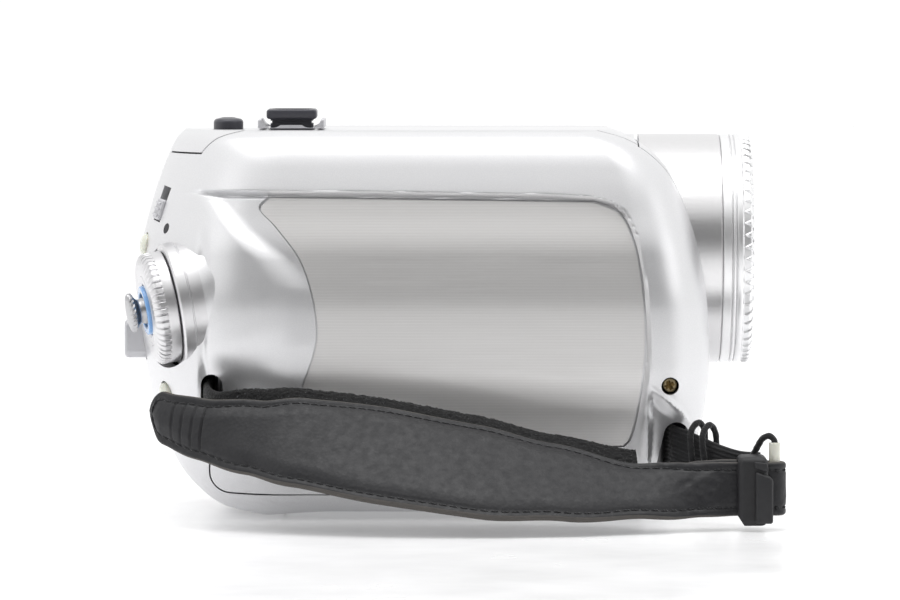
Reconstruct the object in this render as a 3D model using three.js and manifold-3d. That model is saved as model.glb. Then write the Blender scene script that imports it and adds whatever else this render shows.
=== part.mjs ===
// Compact camcorder with a built-in hard drive, a folding screen and a hand strap.
// Millimetres. +X points to the lens, +Y to the screen side, -Y to the grip side, +Z up.
// The origin is the middle of the flat base face that the camcorder stands on.

import * as THREE from 'three';
import { mergeVertices } from 'three/addons/utils/BufferGeometryUtils.js';
import Module from 'manifold-3d';

const wasm = await Module();
wasm.setup();

// ---------------------------------------------------------------- driving dimensions

const GAP = 0.3; // clearance between neighbouring pieces
const WALL = 2; // thickness of the moulded shells
const FAR = 120; // reach of a cutter that runs past the whole object
const BODY_HEIGHT = 70;
const RIGHT_SPLIT = -3; // y of the joint between the right and left shells
const REAR_CORNER = 25; // plan radius of the thumb corner, along X
const CORNER_START = 3; // half-width at which the thumb corner starts
const FRONT_CORNER = { x: 12, y: 14 };
const LEFT_CORNER = 8;

// height, rear end, front end, right half-width, left half-width
const BODY_LEVELS = [
  [0, -35, 35, 21, 19],
  [1.2, -40, 38, 23.5, 21.5],
  [4, -44, 41.5, 25.5, 23.3],
  [8, -47.5, 44.2, 27.5, 24],
  [13, -50, 46, 30, 24],
  [20, -52.5, 47.9, 33, 24],
  [28, -54, 48.7, 34.6, 24],
  [38, -55.3, 48.3, 35, 24],
  [48, -54.7, 46.8, 33.6, 24],
  [56, -52.9, 44.5, 31, 24],
  [62, -51, 42, 28.8, 24],
  [66, -49.4, 38.5, 27, 23],
  [68.6, -48, 34.5, 24.8, 21],
  [BODY_HEIGHT, -46.5, 31, 22, 18.5],
];

// limits of the covers: x0, x1, y0, y1, z0, z1
const TOP_COVER = [-FAR, 36, -20, 12, 66, FAR];
const FRONT_COVER = [36, FAR, -21, 22, -FAR, FAR];
const BASE_COVER = [-28, 30, -18.5, 17, -FAR, 2.4];

const BATTERY = { rear: -50, front: -29.6, right: -1.1, left: 21.7, bottom: 14.3, top: 67.5 };
const LENS = { height: 47.9, radius: 21, bore: 18.6, seam: 51.2, front: 56.9 };
const DIAL = { x: -48.8, y: -22, z: 38.4, yaw: 12, droop: 10, radius: 10.1, thickness: 4.3 };
const DIAL_COLLAR = 11.2;
const RECORD = { rear: -57.6, y: -7, z: 31.7, width: 5.2, height: 7 };
const MENU_SEAT = { y: -11, z: 49, radius: 2 };
const DELETE_SEAT = { y: -19, z: 22.3, radius: 2.1 };
const LAMP_SEAT = { y: -20, z: 52.3, radius: 0.85 };
const POWER_SEAT = { y: -15, z: 56.6, width: 3.2, slot: 6.6, slider: 3.8 };
const ZOOM = { x: -26.9, y: -10, length: 9.1, neck: 7.7, width: 7 };
const SHOT = { x: -38.5, y: -10, radius: 2.7, rise: 2.2 };
const SCREEN = { x: 40, y: 29.5, z: 35, arm: 6, length: 72, height: 50, thickness: 9 };
const CARD_DOOR = { x0: -41.5, x1: -14, z0: 4.6, z1: 12.4, corner: 3.4, lip: 0.4, step: 0.6, thickness: 1 };
const TERMINAL_DOOR = { y0: 3, y1: 18, z0: 7, z1: 21 };
const FRONT_LUG = { x: 39.4, y: -23.4, z0: 8.6, z1: 17.4 };
const REAR_LUG = { x: -39.6, y: -22.5, z0: 16, z1: 25.6 };
const SIDE_SCREW = { x: 41.2, y: -30.2, z: 24.6, radius: 1.3 };
const BASE_SCREWS = [[-24, 0], [25, -13]];
const TRIPOD = { x: 12, y: 0, thread: 3.2, height: 7 };
const MICROPHONE = { y0: -17, y1: -4, z0: 9.5, z1: 17.5 };
const REMOTE_WINDOW = { y: -9.5, z: 22.5, radius: 1.8 };
const EAR_SPANS = [[22, 27], [43, 48]];
const BAY_BUTTONS = [[-12, 44], [0, 44]];
const LATCH_SLOT = { y0: 4.4, y1: 15, z0: 6.1, z1: 10.4 };
const KEEPER = { x0: 52.2, x1: 57.6, y0: -50.2, y1: -41.1, z0: 1, z1: 13.6 };
const CORD_DIAMETER = 1.2;

// ---------------------------------------------------------------- materials

function finish(color, roughness, metalness = 0) {
  return new THREE.MeshStandardMaterial({ color, roughness, metalness });
}

const SILVER = finish(0xd9dadb, 0.35, 0.5);
const RING_METAL = finish(0xe4e4e6, 0.25, 0.9);
const BRUSHED = finish(0x9d9a96, 0.4, 0.8);
const STEEL = finish(0xa8a8aa, 0.3, 0.9);
const BRASS = finish(0x8a7a52, 0.35, 0.9);
const DARK_PLASTIC = finish(0x3a3b40, 0.5);
const BLACK_PLASTIC = finish(0x1b1b1d, 0.5);
const GREY_PLASTIC = finish(0xb9b9bd, 0.45);
const IVORY = finish(0xe2dcc6, 0.35);
const BLUE_PLASTIC = finish(0x6fa4dc, 0.3);
const GLASS = finish(0x1a2230, 0.05);
const LEATHER = finish(0x434346, 0.6);
const WEBBING = finish(0x161617, 0.9);
const RUBBER = finish(0x2b2c2e, 0.8);
const BOARD = finish(0x1f5a34, 0.6);

// ---------------------------------------------------------------- solids

// A closed geometry as a manifold solid, for joining and cutting.
function solid(geometry) {
  const bare = geometry.clone();
  bare.deleteAttribute('normal');
  bare.deleteAttribute('uv');
  const merged = mergeVertices(bare, 1e-4);
  const index = merged.index.array;
  const corners = [];
  for (let i = 0; i < index.length; i += 3) {
    const [a, b, c] = [index[i], index[i + 1], index[i + 2]];
    if (a !== b && b !== c && c !== a) corners.push(a, b, c);
  }
  const vertProperties = new Float32Array(merged.attributes.position.array);
  const triVerts = new Uint32Array(corners);
  return new wasm.Manifold(new wasm.Mesh({ numProp: 3, vertProperties, triVerts }));
}

function geometryOf(body) {
  const mesh = body.getMesh();
  const geometry = new THREE.BufferGeometry();
  geometry.setAttribute('position', new THREE.BufferAttribute(mesh.vertProperties, 3));
  geometry.setIndex(new THREE.BufferAttribute(mesh.triVerts, 1));
  geometry.computeVertexNormals();
  return geometry;
}

function block(x0, x1, y0, y1, z0, z1, grow = 0) {
  const geometry = new THREE.BoxGeometry(x1 - x0 + 2 * grow, y1 - y0 + 2 * grow, z1 - z0 + 2 * grow);
  return solid(geometry.translate((x0 + x1) / 2, (y0 + y1) / 2, (z0 + z1) / 2));
}

function grown(limits, grow) {
  return block(...limits, grow);
}

// A matrix whose local +Z points along direction, standing at origin.
function frameAt(origin, direction) {
  const turn = new THREE.Quaternion();
  turn.setFromUnitVectors(new THREE.Vector3(0, 0, 1), direction.clone().normalize());
  return new THREE.Matrix4().compose(origin, turn, new THREE.Vector3(1, 1, 1));
}

// A lathe profile of [radius, height] pairs turned about the local Z axis.
function turnedGeometry(profile, segments) {
  const points = profile.map(([radius, height]) => new THREE.Vector2(radius, height));
  return new THREE.LatheGeometry(points, segments).rotateX(Math.PI / 2);
}

function turned(profile, frame, segments = 24) {
  return solid(turnedGeometry(profile, segments).applyMatrix4(frame));
}

function disc(radius, low, high, frame, segments = 20) {
  return turned([[0, low], [radius, low], [radius, high], [0, high]], frame, segments);
}

function ringSolid(inner, outer, low, high, frame, segments = 20) {
  return turned([[inner, low], [outer, low], [outer, high], [inner, high], [inner, low]], frame, segments);
}

function alongX(x, y, z) {
  return frameAt(new THREE.Vector3(x, y, z), new THREE.Vector3(1, 0, 0));
}

function alongY(x, y, z) {
  return frameAt(new THREE.Vector3(x, y, z), new THREE.Vector3(0, 1, 0));
}

function upright(x, y, z = 0) {
  return frameAt(new THREE.Vector3(x, y, z), new THREE.Vector3(0, 0, 1));
}

// A box in a local frame, centred on its x and y.
function localBlock(width, depth, low, high, frame) {
  const geometry = new THREE.BoxGeometry(width, depth, high - low);
  return solid(geometry.translate(0, 0, (low + high) / 2).applyMatrix4(frame));
}

// Rings of points joined by faces, with a fan over each end.
function loft(rings) {
  const count = rings[0].length;
  const points = rings.flat();
  const faces = [];
  for (let k = 0; k + 1 < rings.length; k += 1) {
    for (let i = 0; i < count; i += 1) {
      const [a, b] = [k * count + i, k * count + ((i + 1) % count)];
      faces.push([a, b, b + count], [a, b + count, a + count]);
    }
  }
  for (const [k, side] of [[0, 1], [rings.length - 1, 0]]) {
    const centre = points.length;
    const sum = new THREE.Vector3();
    for (const point of rings[k]) sum.add(point);
    points.push(sum.divideScalar(count));
    for (let i = 0; i < count; i += 1) {
      const [a, b] = [k * count + i, k * count + ((i + 1) % count)];
      faces.push(side ? [b, a, centre] : [a, b, centre]);
    }
  }
  let volume = 0;
  for (const [a, b, c] of faces) {
    volume += points[a].dot(points[b].clone().cross(points[c]));
  }
  const outward = volume > 0 ? faces : faces.map(([a, b, c]) => [a, c, b]);
  const geometry = new THREE.BufferGeometry().setFromPoints(points);
  geometry.setIndex(outward.flat());
  return solid(geometry);
}

// An outline drawn in X and Z, extruded between two y values.
function prismXZ(shape, y0, y1, curveSegments = 6) {
  const geometry = new THREE.ExtrudeGeometry(shape, { depth: y1 - y0, bevelEnabled: false, curveSegments });
  return solid(geometry.rotateX(Math.PI / 2).translate(0, y1, 0));
}

// An outline drawn in Y and Z, extruded between two x values.
function prismYZ(shape, x0, x1, curveSegments = 4) {
  const geometry = new THREE.ExtrudeGeometry(shape, { depth: x1 - x0, bevelEnabled: false, curveSegments });
  const turn = new THREE.Matrix4().makeBasis(
    new THREE.Vector3(0, 1, 0),
    new THREE.Vector3(0, 0, 1),
    new THREE.Vector3(1, 0, 0),
  );
  return solid(geometry.applyMatrix4(turn).translate(x0, 0, 0));
}

function roundedRectangle(u0, u1, v0, v1, radius) {
  const shape = new THREE.Shape();
  shape.moveTo(u0 + radius, v0);
  shape.lineTo(u1 - radius, v0);
  shape.absarc(u1 - radius, v0 + radius, radius, -Math.PI / 2, 0);
  shape.lineTo(u1, v1 - radius);
  shape.absarc(u1 - radius, v1 - radius, radius, 0, Math.PI / 2);
  shape.lineTo(u0 + radius, v1);
  shape.absarc(u0 + radius, v1 - radius, radius, Math.PI / 2, Math.PI);
  shape.lineTo(u0, v0 + radius);
  shape.absarc(u0 + radius, v0 + radius, radius, Math.PI, 1.5 * Math.PI);
  return shape;
}

// ---------------------------------------------------------------- outer form of the body

function levelAt(z) {
  const upper = Math.max(1, BODY_LEVELS.findIndex((level) => level[0] >= z));
  const [a, b] = [BODY_LEVELS[upper - 1], BODY_LEVELS[upper]];
  const t = (z - a[0]) / (b[0] - a[0]);
  return a.map((value, i) => value + (b[i] - value) * t);
}

// Corner radii in plan at one level, smaller where the ends draw in to the base and the top.
function cornersAt([, rear, front, right]) {
  const rearX = REAR_CORNER - 0.6 * (rear + 55.3);
  const frontX = FRONT_CORNER.x - 0.3 * (48.7 - front);
  const frontY = FRONT_CORNER.y - 0.4 * (35 - right);
  return { rearX, rearY: right - CORNER_START, frontX, frontY };
}

function arc(cx, cy, rx, ry, from, to, steps) {
  const points = [];
  for (let i = 0; i <= steps; i += 1) {
    const angle = THREE.MathUtils.degToRad(from + ((to - from) * i) / steps);
    points.push([cx + rx * Math.cos(angle), cy + ry * Math.sin(angle)]);
  }
  return points;
}

function planRing(level, inset) {
  const [z, rear, front, right, left] = level;
  const corner = cornersAt(level);
  const [x0, x1, y0, y1] = [rear + inset, front - inset, -right + inset, left - inset];
  const fx = corner.frontX - inset;
  const fy = corner.frontY - inset;
  const rx = corner.rearX - inset;
  const ry = corner.rearY - inset;
  const lr = LEFT_CORNER - inset;
  const plan = [
    ...arc(x1 - fx, y0 + fy, fx, fy, 0, -90, 5),
    ...arc(x0 + rx, y0 + ry, rx, ry, -90, -180, 7),
    ...arc(x0 + lr, y1 - lr, lr, lr, 180, 90, 3),
    ...arc(x1 - lr, y1 - lr, lr, lr, 90, 0, 3),
  ];
  const height = inset + (z * (BODY_HEIGHT - 2 * inset)) / BODY_HEIGHT;
  return plan.map(([x, y]) => new THREE.Vector3(x, y, height));
}

function bodyForm(inset) {
  return loft(BODY_LEVELS.map((level) => planRing(level, inset)));
}

// A seat on the rounded thumb corner: its point, and a frame whose +Z is the outward normal.
function rearSurfaceX(y, z) {
  const level = levelAt(z);
  const { rearX, rearY } = cornersAt(level);
  const across = Math.max(0, (-y - CORNER_START) / rearY);
  return level[1] + rearX * (1 - Math.sqrt(1 - across * across));
}

function rearSeat({ y, z }) {
  const step = 1;
  const point = new THREE.Vector3(rearSurfaceX(y, z), y, z);
  const alongSide = (rearSurfaceX(y + step, z) - rearSurfaceX(y - step, z)) / (2 * step);
  const alongUp = (rearSurfaceX(y, z + step) - rearSurfaceX(y, z - step)) / (2 * step);
  const normal = new THREE.Vector3(-1, alongSide, alongUp).normalize();
  const up = new THREE.Vector3(alongUp, 0, 1).normalize();
  const across = new THREE.Vector3().crossVectors(up, normal);
  const basis = new THREE.Matrix4().makeBasis(across, up, normal);
  return basis.setPosition(point);
}

const dialNormal = new THREE.Vector3(
  -Math.cos(THREE.MathUtils.degToRad(DIAL.yaw)) * Math.cos(THREE.MathUtils.degToRad(DIAL.droop)),
  -Math.sin(THREE.MathUtils.degToRad(DIAL.yaw)) * Math.cos(THREE.MathUtils.degToRad(DIAL.droop)),
  -Math.sin(THREE.MathUtils.degToRad(DIAL.droop)),
);
const dialFrame = frameAt(new THREE.Vector3(DIAL.x, DIAL.y, DIAL.z), dialNormal);
const lensFrame = alongX(0, 0, LENS.height);
const menuFrame = rearSeat(MENU_SEAT);
const deleteFrame = rearSeat(DELETE_SEAT);
const lampFrame = rearSeat(LAMP_SEAT);
const powerFrame = rearSeat(POWER_SEAT);

const camcorder = new THREE.Group();

function piece(name, body, material) {
  const mesh = new THREE.Mesh(geometryOf(body), material);
  mesh.name = name;
  camcorder.add(mesh);
}

const outerForm = bodyForm(0);
const skin = outerForm.subtract(bodyForm(WALL));

// The space behind the body where the battery stands, open at the top and the rear.
const batteryBay = block(-FAR, -28.9, RIGHT_SPLIT + 0.2, 22.1, BATTERY.bottom - 0.6, FAR);

// ---------------------------------------------------------------- side panel

// Outline of the brushed plate: straight top, curved ends, the rear edge bowed round the palm.
function panelShape(scale) {
  const centre = new THREE.Vector2(4, 33);
  const at = (x, z) => new THREE.Vector2(x, z).sub(centre).multiplyScalar(scale).add(centre);
  const start = at(-30.3, 58.1);
  const shape = new THREE.Shape();
  shape.moveTo(start.x, start.y);
  const line = (x, z) => {
    const end = at(x, z);
    shape.lineTo(end.x, end.y);
  };
  line(27.5, 57.3);
  shape.splineThru([at(32, 55.3), at(34.6, 50.2), at(36.4, 38.5), at(36.3, 28), at(33.9, 14.9)]);
  line(32.8, 13.6);
  line(-28.5, 13.6);
  shape.splineThru([at(-24.4, 24.5), at(-21.8, 34), at(-24.4, 46.2), at(-29.1, 52.8), at(-32, 56.2)]);
  return shape;
}

function sidePanel() {
  const plate = outerForm.subtract(bodyForm(0.9)).intersect(prismXZ(panelShape(1), -60, -12));
  piece('side_panel', plate, BRUSHED);
}

function sidePanelPocket() {
  return bodyForm(-1).subtract(bodyForm(1.2)).intersect(prismXZ(panelShape(1.012), -60, -12));
}

// ---------------------------------------------------------------- shells and covers

function cardDoorPrism(grow) {
  const { x0, x1, z0, z1, corner } = CARD_DOOR;
  const outline = roundedRectangle(x0 - grow, x1 + grow, z0 - grow, z1 + grow, corner + grow);
  return prismXZ(outline, -60, -14);
}

// The strap slots go right through the wall in front of each lug pin.
function strapSlots() {
  const front = block(36.2, 45.6, -FAR, -20, 6.6, 19);
  const rear = block(-43.3, -38.7, -FAR, -20, 14.6, 26.8);
  return front.add(rear);
}

function rearControlHoles() {
  return disc(DIAL_COLLAR + GAP, -9, 9, dialFrame, 32)
    .add(block(-FAR, -40, RECORD.y - RECORD.width / 2 - GAP, RECORD.y + RECORD.width / 2 + GAP,
      RECORD.z - RECORD.height / 2 - GAP, RECORD.z + RECORD.height / 2 + GAP))
    .add(disc(MENU_SEAT.radius + GAP, -6, 6, menuFrame, 16))
    .add(disc(DELETE_SEAT.radius + GAP, -6, 6, deleteFrame, 16))
    .add(disc(LAMP_SEAT.radius + 0.15, -6, 6, lampFrame, 12))
    .add(localBlock(POWER_SEAT.width + 2 * GAP, POWER_SEAT.slot, -6, 6, powerFrame));
}

function rightShell() {
  const screwAxis = alongY(SIDE_SCREW.x, SIDE_SCREW.y, SIDE_SCREW.z);
  const shell = skin
    .intersect(block(-FAR, FAR, -FAR, RIGHT_SPLIT, -FAR, FAR))
    .subtract(grown(TOP_COVER, GAP))
    .subtract(grown(FRONT_COVER, GAP))
    .subtract(grown(BASE_COVER, GAP))
    .subtract(sidePanelPocket())
    .subtract(cardDoorPrism(GAP))
    .subtract(strapSlots())
    .subtract(rearControlHoles())
    .subtract(disc(SIDE_SCREW.radius + GAP, -20, 20, screwAxis, 16));
  piece('right_shell', shell, SILVER);
}

function speakerSlots() {
  let slots = block(-20, -12, 20, 30, 20, 21.4);
  for (let row = 1; row < 4; row += 1) {
    slots = slots.add(block(-20, -12, 20, 30, 20 + row * 3, 21.4 + row * 3));
  }
  return slots;
}

// Two ears on the front edge of the left shell carry the screen's upright hinge pin.
function hingeEar(z0, z1) {
  const frame = upright(SCREEN.x, SCREEN.y);
  const web = block(SCREEN.x - 3.8, SCREEN.x + 3.8, 22.5, SCREEN.y, z0, z1);
  return web.add(disc(3.8, z0, z1, frame, 24)).subtract(disc(1.05 + 0.15, z0 - 1, z1 + 1, frame, 16));
}

function leftShell() {
  let shell = skin
    .intersect(block(-FAR, FAR, RIGHT_SPLIT + GAP, FAR, -FAR, FAR))
    .subtract(grown(TOP_COVER, GAP))
    .subtract(grown(FRONT_COVER, GAP))
    .subtract(grown(BASE_COVER, GAP))
    .subtract(batteryBay)
    .subtract(speakerSlots())
    .subtract(block(-FAR, -35, LATCH_SLOT.y0, LATCH_SLOT.y1, LATCH_SLOT.z0, LATCH_SLOT.z1));
  for (const [x, z] of BAY_BUTTONS) {
    shell = shell.subtract(disc(2.5 + GAP, -6, 6, alongY(x, 24, z), 16));
  }
  for (const [z0, z1] of EAR_SPANS) shell = shell.add(hingeEar(z0, z1));
  piece('left_shell', shell, SILVER);
}

function topCover() {
  const slot = ZOOM.neck / 2 + GAP;
  const cover = skin
    .intersect(grown(TOP_COVER, 0))
    .subtract(block(-FAR, -28.9, -1.9, FAR, 0, FAR))
    .subtract(grown(FRONT_COVER, GAP))
    .subtract(block(ZOOM.x - slot, ZOOM.x + slot, ZOOM.y - 6, ZOOM.y + 6, 60, 80))
    .subtract(disc(SHOT.radius + GAP, 60, 80, upright(SHOT.x, SHOT.y), 20));
  piece('top_cover', cover, SILVER);
}

function terminalDoorPrism(x0, x1, grow) {
  const { y0, y1, z0, z1 } = TERMINAL_DOOR;
  return prismYZ(roundedRectangle(y0 - grow, y1 + grow, z0 - grow, z1 + grow, 1.2), x0, x1);
}

// Front cover: the face round the lens, in one piece with the drum that shrouds the lens tube.
function frontCover() {
  const { y0, y1, z0, z1 } = MICROPHONE;
  const cover = skin
    .intersect(grown(FRONT_COVER, 0))
    .add(disc(LENS.radius, 39, LENS.seam, lensFrame, 40))
    .subtract(disc(LENS.bore, 20, 70, lensFrame, 40))
    .subtract(terminalDoorPrism(38, 60, 2 * GAP))
    .subtract(block(30, 60, y0 - GAP, y1 + GAP, z0 - GAP, z1 + GAP))
    .subtract(disc(REMOTE_WINDOW.radius + 0.15, 30, 60, alongX(0, REMOTE_WINDOW.y, REMOTE_WINDOW.z), 20));
  piece('front_cover', cover, SILVER);
}

function baseCover() {
  let cover = skin.intersect(grown(BASE_COVER, 0));
  for (const [x, y] of BASE_SCREWS) {
    cover = cover.subtract(disc(1.5 + GAP, -1, 3, upright(x, y), 12));
  }
  cover = cover.subtract(disc(5 + GAP, -1, 8, upright(TRIPOD.x, TRIPOD.y), 20));
  piece('base_cover', cover, SILVER);
}

// ---------------------------------------------------------------- base hardware

function tripodSocket() {
  const socket = ringSolid(TRIPOD.thread, 5, 0, TRIPOD.height, upright(TRIPOD.x, TRIPOD.y), 20);
  piece('tripod_socket', socket, STEEL);
}

function phillipsHead(radius, low, high, frame) {
  const cross = localBlock(radius * 1.3, radius * 0.3, high - 0.5, high + 1, frame)
    .add(localBlock(radius * 0.3, radius * 1.3, high - 0.5, high + 1, frame));
  return disc(radius, low, high, frame, 20).subtract(cross);
}

function screws() {
  const sideFrame = frameAt(
    new THREE.Vector3(SIDE_SCREW.x, SIDE_SCREW.y, SIDE_SCREW.z),
    new THREE.Vector3(0, -1, 0),
  );
  piece('side_screw', phillipsHead(SIDE_SCREW.radius, -6, 0.2, sideFrame), BRASS);
  BASE_SCREWS.forEach(([x, y], i) => {
    const frame = frameAt(new THREE.Vector3(x, y, 0), new THREE.Vector3(0, 0, -1));
    piece(`base_screw_${i + 1}`, phillipsHead(1.5, -5, -0.5, frame), STEEL);
  });
}

// ---------------------------------------------------------------- battery

// The bay's back plate carries the contacts; its side wall closes the right shell.
function batteryHolder() {
  const { front, bottom } = BATTERY;
  const inside = bodyForm(WALL + GAP);
  const plate = block(front + 0.4, front + 2, RIGHT_SPLIT + GAP, 21.5, bottom - 1.9, 65.7);
  const floor = block(-FAR, front + 1, RIGHT_SPLIT + GAP, 21.5, bottom - 1.9, bottom - 0.9);
  const wall = block(-FAR, front + 1, RIGHT_SPLIT + GAP, -1.5, bottom - GAP, 65.7).intersect(bodyForm(0.4));
  piece('battery_holder', plate.add(floor).intersect(inside).add(wall), BLACK_PLASTIC);
}

function battery() {
  const { rear, front, right, left, bottom, top } = BATTERY;
  const outline = roundedRectangle(right, left, bottom, top, 1.5);
  const pack = prismYZ(outline, rear, front).intersect(bodyForm(0.2));
  piece('battery', pack, DARK_PLASTIC);
}

function batteryLatch() {
  const { y0, z0, z1 } = LATCH_SLOT;
  const button = block(-46.2, -42, y0 + GAP, y0 + 7.3, z0 + GAP, z1 - GAP);
  const flange = block(-42.4, -41.2, y0 - 0.8, y0 + 8.3, z0 + GAP, z1 + 1);
  piece('battery_latch', button.add(flange), DARK_PLASTIC);
}

// ---------------------------------------------------------------- rear controls

function modeDial() {
  const { radius, thickness } = DIAL;
  const profile = [
    [5.4, 0], [radius - 0.3, 0], [radius, 0.3], [radius, thickness - 0.8],
    [radius - 0.7, thickness], [5.4, thickness], [5.4, 0],
  ];
  piece('mode_dial', turned(profile, dialFrame, 32), SILVER);
  const collar = [
    [8, -8], [DIAL_COLLAR, -8], [DIAL_COLLAR, -0.6], [DIAL_COLLAR - 0.3, -GAP], [8, -GAP], [8, -8],
  ];
  piece('dial_collar', turned(collar, dialFrame, 32), SILVER);
  const ring = [[3.5, -8], [7.4, -8], [7.4, -7], [5, -7], [5, 4.6], [4.7, 4.9], [3.5, 4.9], [3.5, -8]];
  piece('dial_ring', turned(ring, dialFrame, 16), BLUE_PLASTIC);
}

// The stick tilts both ways on a gimbal; the gimbal sits on a plunger that is pushed in.
function joystick() {
  piece('joystick_plunger', ringSolid(2.5, 3.2, -7, -1.2, dialFrame, 16), BLACK_PLASTIC);
  piece('joystick_gimbal', ringSolid(1.5, 2.2, -1, 1, dialFrame, 16), BLACK_PLASTIC);
  const profile = [
    [0, -0.9], [1.2, -0.9], [1.2, 2.8], [1.7, 3.6], [2.6, 4.5], [1.9, 5.2],
    [1.9, 5.6], [3.3, 6.3], [3.4, 7.2], [2.9, 7.7], [0, 7.8],
  ];
  piece('joystick', turned(profile, dialFrame, 16), GREY_PLASTIC);
}

function recordButton() {
  const { rear, y, z, width, height } = RECORD;
  const outline = roundedRectangle(y - width / 2, y + width / 2, z - height / 2, z + height / 2, 1.4);
  const cap = prismYZ(outline, rear, -50.8);
  const flange = block(-51, -50.2, y - width / 2, y + width / 2 + 0.9, z - height / 2, z + height / 2);
  piece('record_button', cap.add(flange), GREY_PLASTIC);
}

function domedButton(name, radius, frame, material) {
  const profile = [[0, -4], [radius + 0.5, -4], [radius + 0.5, -3.2], [radius, -3.2], [radius, 0.3],
    [radius * 0.7, 0.75], [0, 0.95]];
  piece(name, turned(profile, frame, 16), material);
}

function powerSwitch() {
  const { width, slot, slider } = POWER_SEAT;
  const shift = new THREE.Matrix4().makeTranslation(0, (slider - slot) / 2 + GAP, 0);
  const low = powerFrame.clone().multiply(shift);
  const knob = localBlock(width, slider, -3.5, 0.5, low);
  const flange = localBlock(width + 1.6, slider + 2, -4, -3.2, low);
  piece('power_switch', knob.add(flange), GREY_PLASTIC);
  piece('access_lamp', disc(LAMP_SEAT.radius, -4, 0.05, lampFrame, 16), IVORY);
}

// ---------------------------------------------------------------- top controls

function zoomLever() {
  const { x, y, length, neck, width } = ZOOM;
  const cap = roundedRectangle(x - length / 2, x + length / 2, 71.9, 73.7, 0.5);
  const lever = prismXZ(cap, y - 4.5, y + 4.5, 3)
    .add(block(x - neck / 2, x + neck / 2, y - width / 2, y + width / 2, 66.8, 72.1))
    .add(block(x - neck / 2 - 1, x + neck / 2 + 1, y - width / 2 - 1, y + width / 2 + 1, 66, 67));
  piece('zoom_lever', lever, DARK_PLASTIC);
  const inner = block(x - 4.7, x + 4.7, y - 7.2, y + 7.2, 60, 80);
  const trough = block(x - 4.7, x + 4.7, y - FAR, y + FAR, BODY_HEIGHT + 0.9, 80);
  const frame = block(x - 6, x + 6, y - 8.2, y + 8.2, BODY_HEIGHT + GAP, 71.8);
  piece('zoom_frame', frame.subtract(inner).subtract(trough), GREY_PLASTIC);
}

function shotButton() {
  const { x, y, radius, rise } = SHOT;
  const top = BODY_HEIGHT + rise;
  const profile = [[0, 65.6], [radius + 0.9, 65.6], [radius + 0.9, 66.6], [radius, 66.6],
    [radius, top - 0.5], [radius - 0.6, top - 0.1], [0, top]];
  piece('shot_button', turned(profile, upright(x, y), 20), DARK_PLASTIC);
}

// ---------------------------------------------------------------- lens

function lensParts() {
  const { radius, seam, front } = LENS;
  const start = seam + GAP;
  const rim = [
    [17.4, start], [radius, start], [radius, 52.9], [radius - 0.5, 53], [radius - 0.5, 53.5],
    [radius, 53.6], [radius, front - 0.8], [radius - 0.7, front], [18, front], [17.4, front - 0.6],
    [17.4, start],
  ];
  piece('lens_ring', turned(rim, lensFrame, 40), RING_METAL);
  const baffle = [
    [12.6, 44.6], [18.2, 44.6], [18.2, 51], [17, 51.6], [17, 54.6], [16.6, 54.6], [12.6, 45.4], [12.6, 44.6],
  ];
  piece('lens_baffle', turned(baffle, lensFrame, 28), BLACK_PLASTIC);
  const glass = [[0, 40.5], [13.6, 40.5], [13.6, 43.2], [9.5, 44.6], [5, 45.5], [0, 45.8]];
  piece('front_lens', turned(glass, lensFrame, 28), GLASS);
  const tube = [
    [14, 8.3], [16, 8.3], [16, 41], [17.6, 41], [17.6, 44.3], [14, 44.3], [14, 40.2], [12.4, 40.2],
    [12.4, 39.2], [14, 39.2], [14, 8.3],
  ];
  piece('lens_tube', turned(tube, lensFrame, 24), BLACK_PLASTIC);
  const zoomCell = [[0, 25], [9, 25], [9, 24], [13.6, 24], [13.6, 29], [9, 29], [9, 28], [0, 28.8]];
  piece('zoom_lens', turned(zoomCell, lensFrame, 20), GLASS);
  const focusCell = [[0, 14], [7, 14], [7, 13], [13.6, 13], [13.6, 17], [7, 17], [7, 16.2], [0, 17]];
  piece('focus_lens', turned(focusCell, lensFrame, 20), GLASS);
  piece('image_sensor', block(4, 8, -11, 11, LENS.height - 10, LENS.height + 10), BOARD);
}

// ---------------------------------------------------------------- inside the body

function internals() {
  piece('hard_drive', block(-26, 36, -24.6, -19.9, 11, 58), STEEL);
  const damper = block(-24, 34, -28, -25.3, 15, 56).subtract(block(-10, 22, -30, -20, 22, 50));
  piece('drive_damper', damper, RUBBER);
  piece('main_board', block(-26, 36, -19.4, -18, 9, 60), BOARD);
  piece('card_socket', block(-25, -2, -17.7, -2.6, 7, 11), STEEL);
  piece('speaker', disc(7, 17.5, 21.6, alongY(-16, 0, 25.5), 28), BLACK_PLASTIC);
}

function frontFittings() {
  const { y0, y1, z0, z1 } = MICROPHONE;
  piece('microphone_grille', block(40, 60, y0, y1, z0, z1).intersect(bodyForm(0.5)).intersect(
    outerForm.subtract(bodyForm(WALL)),
  ), DARK_PLASTIC);
  const window = disc(REMOTE_WINDOW.radius, 38, 60, alongX(0, REMOTE_WINDOW.y, REMOTE_WINDOW.z), 20);
  piece('remote_window', window.intersect(bodyForm(0.2)), BLACK_PLASTIC);
}

// ---------------------------------------------------------------- doors

// The door's inner edges are stepped back, so that it swings clear of its frame.
function cardDoor() {
  const { lip, step, thickness } = CARD_DOOR;
  const face = outerForm.subtract(bodyForm(lip)).intersect(cardDoorPrism(0));
  const back = outerForm.subtract(bodyForm(thickness)).intersect(cardDoorPrism(-step));
  piece('card_door', face.add(back), SILVER);
}

function terminalDoor() {
  const door = outerForm.subtract(bodyForm(1.4)).intersect(terminalDoorPrism(38, 60, 0));
  piece('terminal_door', door, SILVER);
  const { y0, y1, z0, z1 } = TERMINAL_DOOR;
  piece('terminal_block', block(33, 40.8, y0 + 1, y1 - 1, z0 + 1, z1 - 1), BLACK_PLASTIC);
}

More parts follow.
